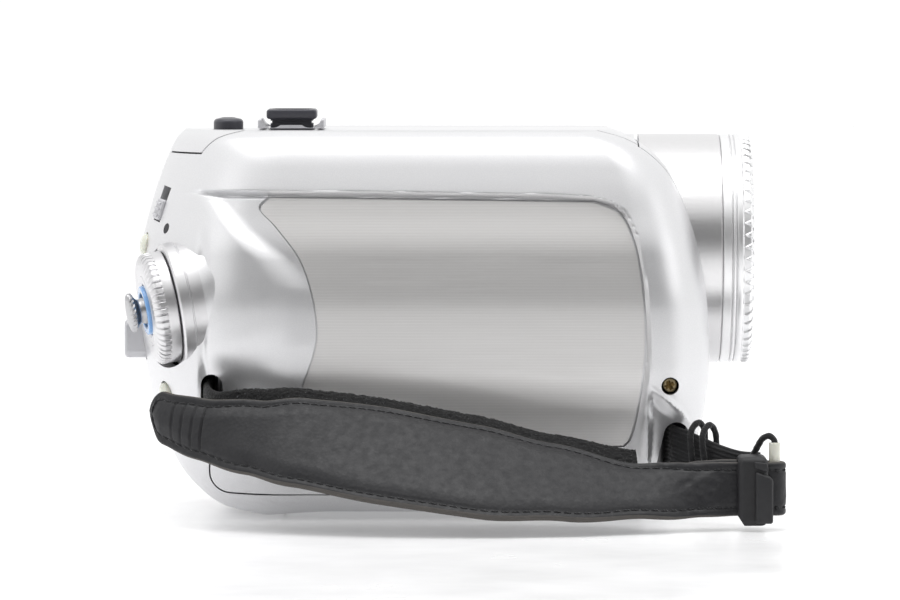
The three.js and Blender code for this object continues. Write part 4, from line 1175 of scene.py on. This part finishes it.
def make_zoom():
    """The zoom lever: a dished cap on a narrower neck between two upright grey guides."""
    x, y = ZOOM["x"], ZOOM["y"]
    half = ZOOM["length"] / 2
    outline = rounded_rectangle(x - half, x + half, 71.9, 73.7, 0.55, 6)
    lever = prism("zoom_cap", outline, y - 4.5, y + 4.5)
    soften(lever, 0.4, 4, 50)
    dish = lathe("cutter", [(0, 0), (30, 0), (30, 8), (0, 8)], along_y(x, y, 73.45 + 30), 160)
    placed(dish, Matrix.Translation((0, -4, 0)))
    cut(lever, dish)
    neck = box("neck", x - 3.85, x + 3.85, y - 3.5, y + 3.5, 66.8, 72.1, 0.25)
    foot = box("foot", x - 4.85, x + 4.85, y - 4.5, y + 4.5, 66, 67)
    for side in (-1, 1):
        groove = box("cutter", x + side * 3.85 - 0.3, x + side * 3.85 + 0.3, y - 4, y + 4, 71.1, 71.6)
        cut(neck, groove)
    join(lever, neck, foot)
    finish_piece(lever, "zoom_lever", "dark_plastic", DARK, "zoom_lever")
    guide = box("zoom_guides", x - 6, x + 6, y - 8.2, y + 8.2, 70.3, 71.9, 0.25)
    cut(guide, cutter_box((x - 4.7, x + 4.7, y - 7.2, y + 7.2, 60, 80)),
        cutter_box((x - 4.7, x + 4.7, y - FAR, y + FAR, 70.9, 80)))
    for side in (-1, 1):
        bow = cutter_disc(2.2, -10, 10, along_y(x + side * 3.35, y, 72.6))
        cut(guide, bow)
    finish_piece(guide, "root", "grey_plastic", GREY, "zoom_frame")


def make_screws():
    """Crosshead screws: a domed head with a cross of two pointed grooves."""
    side = axes((1, 0, 0), (0, 0, 1), (0, -1, 0), (SIDE_SCREW["x"], SIDE_SCREW["y"], SIDE_SCREW["z"]))
    places = [("side_screw", side, SIDE_SCREW["radius"], 0.2, "brass", BRASS)]
    for k, (x, y) in enumerate(BASE_SCREWS):
        below = axes((1, 0, 0), (0, -1, 0), (0, 0, -1), (x, y, 0))
        places.append((f"base_screw_{k + 1}", below, 1.5, -0.5, "steel", STEEL))
    for name, matrix, radius, top, slot, material in places:
        profile = [(0, top - 5), (radius * 0.6, top - 5), (radius * 0.6, top - 1), (radius, top - 0.9),
                   (radius, top - 0.25), (radius * 0.86, top - 0.08), (radius * 0.5, top), (0, top + 0.02)]
        head = lathe(name + "_head", profile, matrix, 48)
        for turn in (28, 118):
            groove = [(-0.42 * radius, top + 0.2), (0.42 * radius, top + 0.2), (0, top - 0.55)]
            cross = matrix @ Matrix.Rotation(math.radians(turn), 4, "Z")
            cut(head, placed(prism("groove", groove, -0.66 * radius, 0.66 * radius), cross))
        finish_piece(head, "root", slot, material, name)


# ---- lens


def make_lens():
    """The lens ring: a bright bead in a groove, and pointed ribs round its front edge."""
    ribs = 60

    def ripple(angle, r, height):
        if r < 19.5:
            return 0
        away = abs((angle * ribs / (2 * math.pi)) % 1 - 0.5) * 2
        half_width = 0.62 * (height - 55.15) / 1.3
        point = min(1, max(0, (half_width - away) / 0.16))
        ground = float(ease(height, 54.75, 55.1)) * (1 - float(ease(height, 56.62, 56.8)))
        return -0.36 * ground * (1 - point)

    outline = [(17.4, 51.26), (20.8, 51.26), (21, 51.45), (21, 52.75), (20.85, 52.9), (20.45, 52.95),
               (20.45, 53.05), (20.85, 53.1), (21.0, 53.2), (21.05, 53.35), (21.0, 53.5), (20.85, 53.6),
               (20.5, 53.65), (20.5, 53.75), (20.9, 53.85), (21, 54.0), (21, 54.4)]
    outline += [(21, 54.7 + 0.12 * k) for k in range(13)]
    outline += [(20.95, 56.25), (20.88, 56.38), (20.78, 56.5), (20.65, 56.62), (20.4, 56.76), (20.1, 56.86),
                (19.7, 56.9), (18.3, 56.9), (17.9, 56.8), (17.6, 56.5), (17.4, 56)]
    ring = lathe("lens_front_ring", outline, LENS_FRAME, 1440, ripple)
    finish_piece(ring, "root", "ring_metal", RING, "lens_ring", sharp=40)
    steps = [(12.6, 44.6), (18.2, 44.6), (18.2, 51), (17, 51.6), (17, 54.6), (16.6, 54.6)]
    for k in range(8):
        radius = 16.4 - 0.45 * k
        height = 54.2 - 1.1 * k
        steps += [(radius, height), (radius - 0.3, height - 0.25), (radius - 0.3, height - 1.0)]
    steps.append((12.6, 45.2))
    baffle = lathe("baffle_steps", steps, LENS_FRAME, 128)
    finish_piece(baffle, "root", "black_plastic", BLACK, "lens_baffle")
    glass_outline = [(0, 40.5), (13.6, 40.5), (13.6, 43.2)]
    glass_outline += [(13.6 * math.cos(math.radians(a)), 43.2 + 2.6 * math.sin(math.radians(a)))
                      for a in range(8, 88, 8)]
    glass_outline.append((0, 45.8))
    front = lathe("front_lens_glass", glass_outline, LENS_FRAME, 96)
    finish_piece(front, "root", "lens_glass", LENS, "front_lens")


make_dial()
make_stick()
make_buttons()
make_zoom()
make_screws()
make_lens()

# ---- hand strap

# centre line of each ribbon: x, y, z, width, thickness, lean in degrees, as in the CAD model
PAD_STATIONS = [
    (-51.3, -35.5, 20.4, 7, 2.2, 0), (-48.6, -38.8, 19.2, 9.4, 2.6, 6), (-42.5, -43, 17.7, 11, 2.8, 15),
    (-33, -47.4, 16.5, 14.5, 2.8, 30), (-24.6, -50, 15.8, 19, 2.8, 40), (-9.4, -52.6, 13.6, 23, 2.8, 48),
    (7.1, -53.4, 10.9, 23.5, 2.8, 51), (21.1, -52.6, 9, 20, 2.8, 53), (35.2, -50.6, 7.3, 13, 2.4, 48),
    (45.8, -48.4, 7.3, 10, 1.8, 22), (52, -47.5, 7.4, 9.5, 1.5, 4),
]
TONGUE_STATIONS = [
    (58.6, -47.3, 7.4, 9.5, 1.3, 0), (60, -46.8, 7.4, 9.5, 1.3, 0), (60.6, -45.4, 7.4, 9.5, 1.3, 0),
    (60, -44, 7.4, 9.5, 1.3, 0), (58.6, -43.5, 7.4, 9.5, 1.3, 0), (52, -43.7, 7.6, 9.5, 1.3, -4),
    (46.5, -44.9, 7.8, 9, 1.3, -18), (42.5, -46.3, 7.6, 8.6, 1.3, -32),
]
FRONT_LUG = (39.4, -23.4)
REAR_LUG = (-39.6, -22.5, 20.8)


def ribbon_frames(line):
    """Unit vectors across and through a ribbon at each point of its line."""
    ahead = tangents(line).copy()
    ahead[:, 2] = 0
    ahead /= np.linalg.norm(ahead, axis=1)[:, None]
    inward = np.column_stack([-ahead[:, 1], ahead[:, 0], np.zeros(len(ahead))])
    lean = np.radians(line[:, 5])
    across = np.outer(np.cos(lean), (0, 0, 1)) + np.sin(lean)[:, None] * inward
    through = np.cross(ahead, across)
    return ahead, across, through / np.linalg.norm(through, axis=1)[:, None]


def strap(name, line, along, columns, section, width_share=None):
    """A ribbon mesh; section gives how far its face stands out at v across, at a run along it."""
    _, across, through = ribbon_frames(line)
    vs = np.sin(np.linspace(-math.pi / 2, math.pi / 2, columns))
    points = []
    for k, run in enumerate(along):
        half_width = line[k, 3] / 2 * (1 if width_share is None else width_share(run))
        half = line[k, 4] / 2
        for side, order in ((1, vs), (-1, vs[::-1])):
            for v in order:
                lift = section(v, run, side, half_width, half)
                points.append(line[k, :3] + across[k] * v * half_width + through[k] * side * lift)
    ring = 2 * columns
    faces = [tuple(range(ring)), tuple(range(len(points) - 1, len(points) - ring - 1, -1))]
    return solid(name, points, faces + tube_faces(len(along), ring))


STITCH_INSET = 1.45
STITCH_PITCH = 1.75
STITCH_LENGTH = 1.5
TIP_CREASES = (6.8, 8.9, 11.1, 13.1)
PAD_COLUMNS = 44
PAD_STEP = 0.16
# how long the pad's round rear tip is
TIP = 3.4


def tip_width(run):
    return math.sqrt(max(0.02, 1 - (1 - min(1, run / TIP)) ** 2))


def make_grip():
    """The leather grip: a crowned pad with rounded edges, stitched in a channel, creased at its rear tip."""
    line, along = evenly(smooth_line(PAD_STATIONS + TONGUE_STATIONS, 12), PAD_STEP)
    pad_end = float(along[np.argmax(line[:, 0] > 50)])

    def section(v, run, side, half_width, half):
        edge = (1 - abs(v)) * half_width
        rim = min(half, 0.62)
        roll = math.sqrt(max(0, 1 - (1 - min(1, edge / rim)) ** 2)) * rim
        crown = (half - rim) * float(ease(edge, 0.6, 4.2))
        channel = 0.24 * math.exp(-((edge - STITCH_INSET) / 0.28) ** 2) if run > TIP * 0.6 else 0
        lift = roll + crown - channel
        if side > 0:
            for crease in TIP_CREASES:
                lift -= 0.24 * math.exp(-((run - crease) / 0.2) ** 2) * float(ease(edge, 1.5, 1.9))
            puckers = float(ease(run, pad_end - 15, pad_end - 6))
            puckers *= 1 - float(ease(run, pad_end, pad_end + 3))
            place = Vector((run * 0.55, v * half_width * 0.8, 2.0))
            lift += 0.16 * puckers * noise.noise(place)
            lift += 0.05 * noise.noise(Vector((run * 0.16, v * 2, 7.0)))
        return max(0.02, lift)

    pad = strap("leather_grip", line, along, PAD_COLUMNS, section, tip_width)
    finish_piece(pad, "root", "leather", LEATHER, "grip_pad", sharp=60)
    pad.data.materials.append(EDGE)
    ring = 2 * PAD_COLUMNS
    for face in pad.data.polygons:
        columns = [v % ring for v in face.vertices]
        at_edge = all(c < 5 or c > ring - 6 or PAD_COLUMNS - 6 < c < PAD_COLUMNS + 5 for c in columns)
        if at_edge and len(columns) == 4:
            face.material_index = 1
    sew("grip_stitching", grip_stitches(line, along, section))


def grip_stitches(line, along, section):
    """Place, course and outward direction of each stitch: along both edges, and round the tip."""
    ahead, across, through = ribbon_frames(line)
    stitches = []
    for sign in (-1, 1):
        run = TIP * 0.9
        while run < along[-1] - 1:
            k = int(np.searchsorted(along, run))
            half_width = line[k, 3] / 2 * tip_width(run)
            v = sign * (half_width - STITCH_INSET)
            for side in (1, -1):
                lift = section(v / half_width, run, side, half_width, line[k, 4] / 2)
                place = line[k, :3] + across[k] * v + through[k] * side * (lift + 0.05)
                nxt = min(k + 6, len(line) - 1)
                next_half = line[nxt, 3] / 2 * tip_width(float(along[nxt]))
                ahead_point = line[nxt, :3] + across[nxt] * sign * (next_half - STITCH_INSET)
                here_point = line[k, :3] + across[k] * v
                stitches.append((place, ahead_point - here_point, through[k] * side))
            run += STITCH_PITCH
    for turn in range(-60, 61, 24):
        angle = math.radians(turn)
        run = TIP - (TIP - STITCH_INSET) * math.cos(angle)
        k = int(np.searchsorted(along, run))
        half_width = line[k, 3] / 2 * tip_width(run)
        v = (line[int(TIP / PAD_STEP), 3] / 2 - STITCH_INSET) * math.sin(angle)
        lift = section(v / half_width, run, 1, half_width, line[k, 4] / 2)
        place = line[k, :3] + across[k] * v + through[k] * (lift + 0.05)
        course = across[k] * math.cos(angle) + ahead[k] * math.sin(angle)
        stitches.append((place, course, through[k]))
    return stitches


def sew(name, stitches):
    """One object of many thread stitches, each a small rounded spindle."""
    points = []
    faces = []
    shape = ((-0.5, 0.04), (-0.36, 0.15), (0, 0.2), (0.36, 0.15), (0.5, 0.04))
    sides = 8
    for place, direction, normal in stitches:
        direction = direction / np.linalg.norm(direction)
        side = np.cross(direction, normal)
        side /= np.linalg.norm(side)
        up = np.cross(side, direction)
        base = len(points)
        for share, radius in shape:
            for i in range(sides):
                angle = 2 * math.pi * i / sides
                points.append(place + direction * share * STITCH_LENGTH
                              + radius * (math.cos(angle) * side + math.sin(angle) * up))
        faces += tube_faces(len(shape), sides, base)
        faces.append(tuple(base + i for i in range(sides)))
        faces.append(tuple(base + (len(shape) - 1) * sides + i for i in range(sides - 1, -1, -1)))
    finish_piece(solid(name, points, faces), "root", "webbing", THREAD, sharp=80)


# how far the pile stands up behind the pad at its stations
PILE_RISE = (5.0, 6.0, 7.2, 7.8, 7.8, 7.4)
PILE_BEHIND = 3.4
WEBBING_STEP = 0.3


def rear_webbing_stations():
    x, y, z = REAR_LUG
    around = [(x + 1.7, y - 2.8, z), (x + 2.1, y, z), (x, y + 2.1, z), (x - 2.1, y, z),
              (x - 2.2, y - 5, z - 0.3), (x - 1.9, y - 9.5, z - 0.8), (x - 0.4, y - 14, z - 1.4)]
    leans = (0, 0, 0, 0, 0, 2, 8)
    stations = [(*place, 9, 1.4, lean) for place, lean in zip(around, leans)]
    for (px, py, pz, width, _, lean), rise in zip(PAD_STATIONS[3:9], PILE_RISE):
        angle = math.radians(lean)
        stations.append((px, py + PILE_BEHIND * math.cos(angle) + rise * math.sin(angle),
                         pz - PILE_BEHIND * math.sin(angle) + rise * math.cos(angle),
                         width * 0.86, 1.8, lean))
    return stations


def front_webbing_stations():
    x, y = FRONT_LUG
    around = [(x - 1.6, y - 2.6, 12.8, 8.6), (x - 2.1, y, 12.8, 8.6), (x, y + 2.1, 12.8, 8.6),
              (x + 2.1, y, 12.8, 8.6), (x + 3.2, y - 4, 12.6, 8.8), (45.4, -31, 11.6, 9),
              (50.4, -37.2, 9.8, 9), (53.6, -39.2, 9, 9), (57, -39.7, 8.8, 9)]
    return [(*place, 1.4, 0) for place in around]


def make_webbing():
    """Ribbed webbing; behind the pad its hook-and-loop face stands up in a ragged pile."""
    line, along = evenly(smooth_line(front_webbing_stations(), 12), WEBBING_STEP)

    def ribbed(v, run, side, half_width, half):
        rim = math.sqrt(max(0.0, 1 - abs(v) ** 6))
        rib = 0.1 * math.cos(v * half_width * 2 * math.pi / 0.75)
        return max(0.05, (half + rib * (abs(v) < 0.93)) * rim)

    front = strap("front_webbing_band", line, along, 64, ribbed)
    finish_piece(front, "root", "webbing", WEBBING, "strap_front_webbing", sharp=70)
    line, along = evenly(smooth_line(rear_webbing_stations(), 12), WEBBING_STEP)
    pile_start = float(along[np.argmax(line[:, 1] < -37)])

    def piled(v, run, side, half_width, half):
        rim = math.sqrt(max(0.0, 1 - abs(v) ** 8))
        rib = 0.05 * math.cos(v * half_width * 2 * math.pi / 0.8)
        pile = float(ease(run, pile_start, pile_start + 4))
        place = Vector((run * 2.2, v * half_width * 2.2, side * 3.0))
        tuft = 0.3 * noise.noise(place) + 0.22 * noise.noise(place * 2.7)
        return max(0.05, (half + rib * (1 - pile) + tuft * pile) * rim)

    def ragged(run):
        coarse = noise.noise(Vector((run * 0.9, 3.0, 0)))
        fine = noise.noise(Vector((run * 2.7, 5.0, 0)))
        return 1 + 0.03 * coarse + 0.025 * fine

    rear = strap("rear_webbing_band", line, along, 56, piled, ragged)
    finish_piece(rear, "root", "webbing", PILE, "strap_webbing", sharp=80)


def pile_cloth():
    """Loop pile: black, with glints painted into its colour as pale tufts (painted highlights)."""
    made = Nodes("loop_pile")
    made.set(Sheen_Weight=0.15, Sheen_Roughness=0.3)
    tufts = made.noise(2600, 4, None, 0.7)
    # painted highlight: the pale spots on the tufts are glints painted into the colour
    painted_glints = made.spread(tufts, 0, 1, 0.6, 0.72)
    made.colour(made.blend(painted_glints, (0.004, 0.004, 0.0045), (0.16, 0.16, 0.17)))
    made.rough(made.spread(tufts, 0.7, 0.95))
    made.bump(tufts, 0.8, 0.35)
    return made.material


PILE = pile_cloth()
KEEPER = (52.5, 57.9, -50.2, -41.1, 1, 13.2)


def make_keeper():
    """The rubber keeper: a moulded loop with a raised rib, a lip over it and a chamfered lower corner."""
    x0, x1, y0, y1, z0, z1 = KEEPER
    loop = box("keeper_loop", x0, x1, y0, y1, z0, z1, 1.2, 6)
    chamfer = [(x0 - 2.4, z0 - 1), (x0 + 1.9, z0 - 1), (x0 - 1, z0 + 3.4)]
    cut(loop, prism("cutter", chamfer, -60, -40))
    low, high = z0 + 0.5, z1 - 3.4
    rib = prism("rib", [(x1 - 2.3, low), (x1 + 0.8, low), (x1 + 0.8, high - 0.5), (x1 + 0.2, high),
                        (x1 - 2.3, high + 0.9)], y0 - 0.9, y0 + 1.5)
    soften(rib, 0.45, 4)
    lip = prism("lip", [(x1 - 2.5, high + 1.5), (x1 - 0.2, high + 0.7), (x1, high + 1.2),
                        (x1 - 0.3, high + 2.4), (x1 - 2.5, high + 2.6)], y0 - 0.45, y0 + 1)
    soften(lip, 0.3, 4)
    join(loop, rib, lip)
    cut(loop, box("cutter", x0 - 1, x1 + 1, y0 + 1.2, y1 - 1.0, z0 + 1.1, z1 - 0.75, 0.3))
    finish_piece(loop, "strap_keeper", "rubber", RUBBER, "strap_keeper", sharp=40)


make_grip()
make_webbing()
make_keeper()

# ---- battery, screen and inner pieces


def make_battery():
    """The battery: a rounded block with a case seam, a sunk rear label field and thumb ridges."""
    low, high = box_mm("battery")
    pack = box("battery_case", low.x, high.x, low.y, high.y, low.z, high.z, 1.5, 5)
    bound = body_form("battery_bound", 0.2, rows=60)
    meet(pack, bound)
    seam = box("seam", high.x - 4.2, high.x - 3.9, low.y - 1, high.y + 1, low.z - 1, high.z + 1)
    cut(seam, box("core", high.x - 5, high.x - 3, low.y + 0.35, high.y - 0.35, low.z + 0.35,
                  high.z - 0.35, 1.2))
    cut(pack, seam)
    cut(pack, box("field", low.x - 3, low.x + 0.45, low.y + 3, high.y - 3, low.z + 9, high.z - 17, 0.4))
    for k in range(5):
        ridge = low.z + 41 + 1.9 * k
        cut(pack, box("groove", low.x - 3, low.x + 0.9, low.y + 5, high.y - 5, ridge, ridge + 0.9, 0.3))
    finish_piece(pack, "battery", "dark_plastic", DARK, "battery")


def make_latch():
    low, high = box_mm("battery_latch")
    button = box("latch_button", low.x, -42, 4.7, 11.7, 6.4, 10.1, 0.5, 4)
    for k in range(3):
        ridge = 6.6 + 1.5 * k
        cut(button, box("groove", low.x - 1, low.x + 0.45, ridge, ridge + 0.6, 6.9, 9.6, 0.12))
    join(button, box("flange", -42.4, high.x, low.y, high.y, low.z, high.z, 0.2))
    finish_piece(button, "battery_latch", "dark_plastic", DARK, "battery_latch")


def make_screen():
    """The screen: two softened shells with a raised field behind, a lens-like pane and a bore for the hinge.
    """
    low, high = box_mm("screen_back")
    face_low, face_high = box_mm("screen_bezel")
    near, far = low.y, high.y

    def inset(near_by, far_by, ends_by, radius, steps=8):
        return rounded_rectangle(near + near_by, far - far_by, low.z + ends_by, high.z - ends_by, radius,
                                 steps)

    outline = inset(0, 0, 0, 5, 12)
    inside = inset(1.6, 1.6, 1.6, 3.6)
    bore = along_y(HINGE[0], 0, 35)
    back = prism("screen_back_shell", outline, low.x, high.x, "X")
    soften(back, 1.1, 5, 60)
    field = prism("field", inset(7, 5, 6, 4), high.x - 0.45, high.x + 1, "X")
    rim = prism("rim", inset(7.8, 5.8, 6.8, 3.4), high.x - 2, high.x + 2, "X")
    cut(back, cut(field, rim), prism("cavity", inside, low.x - 1, high.x - 1.4, "X"),
        cutter_disc(2.1, near - 1, near + 6, bore, 32))
    finish_piece(back, "screen", "silver_shell", SILVER, "screen_back")
    bezel = prism("screen_bezel_frame", outline, face_low.x, face_high.x, "X")
    soften(bezel, 0.8, 4, 60)
    window = inset(9, 2.5, 6.5, 1, 6)
    cut(bezel, prism("cavity", inside, face_low.x + 1.5, face_high.x + 1, "X"),
        prism("window", window, face_low.x - 1, face_high.x + 1, "X"),
        cutter_disc(2.1, near - 1, near + 6, bore, 32))
    for k in range(3):
        cut(bezel, cutter_disc(1.4, -0.4, 1, along_x(face_low.x - 0.5, near + 4.6, 25.5 + 9.5 * k), 32))
    finish_piece(bezel, "screen", "silver_shell", SILVER, "screen_bezel")
    pane_low, pane_high = box_mm("screen_glass")
    pane = prism("screen_pane", rounded_rectangle(pane_low.y, pane_high.y, pane_low.z, pane_high.z, 0.8, 6),
                 pane_low.x, pane_high.x, "X")
    soften(pane, 0.2, 3, 60)
    finish_piece(pane, "screen", "screen_glass", DISPLAY, "screen_glass")


def make_microphone():
    """The microphone grille: a rounded insert crossed by fine slots."""
    low, high = box_mm("microphone_grille")
    front = body_form("grille_face", 0.15, rows=80)
    grille = box("grille", low.x - 0.5, high.x + 3, low.y, high.y, low.z, high.z, 0.3)
    meet(grille, front)
    for k in range(8):
        slot = low.y + 1.3 + 1.5 * k
        cut(grille, box("slot", low.x + 1.2, high.x + 5, slot, slot + 0.7, low.z + 1, high.z - 1, 0.2))
    finish_piece(grille, "root", "dark_plastic", DARK, "microphone_grille")


# CAD nodes kept as they are: name, material and how much their edges are rounded
KEPT_NODES = (
    ("battery_holder", BLACK, 0.3), ("card_socket", STEEL, 0.2), ("drive_damper", RUBBER, 0.4),
    ("focus_lens", LENS, 0.1), ("front_strap_pin", STEEL, 0.2), ("hard_drive", STEEL, 0.5),
    ("image_sensor", BOARD, 0.1), ("joystick_gimbal", BLACK, 0.1), ("joystick_plunger", BLACK, 0.1),
    ("lens_tube", BLACK, 0.2), ("main_board", BOARD, 0.1), ("rear_strap_pin", STEEL, 0.2),
    ("remote_window", BLACK, 0.15), ("screen_hinge", DARK, 0.3), ("screen_module", BLACK, 0.2),
    ("screen_pin", STEEL, 0.15), ("speaker", BLACK, 0.3), ("terminal_block", BLACK, 0.2),
    ("tripod_socket", STEEL, 0.15), ("zoom_lens", LENS, 0.1),
)


def dress_kept_nodes():
    for name, material, width in KEPT_NODES:
        node = nodes[name]
        node.data.materials.clear()
        node.data.materials.append(material)
        add_bevel(node, width, 3, 40)


make_battery()
make_latch()
make_screen()
make_microphone()
dress_kept_nodes()
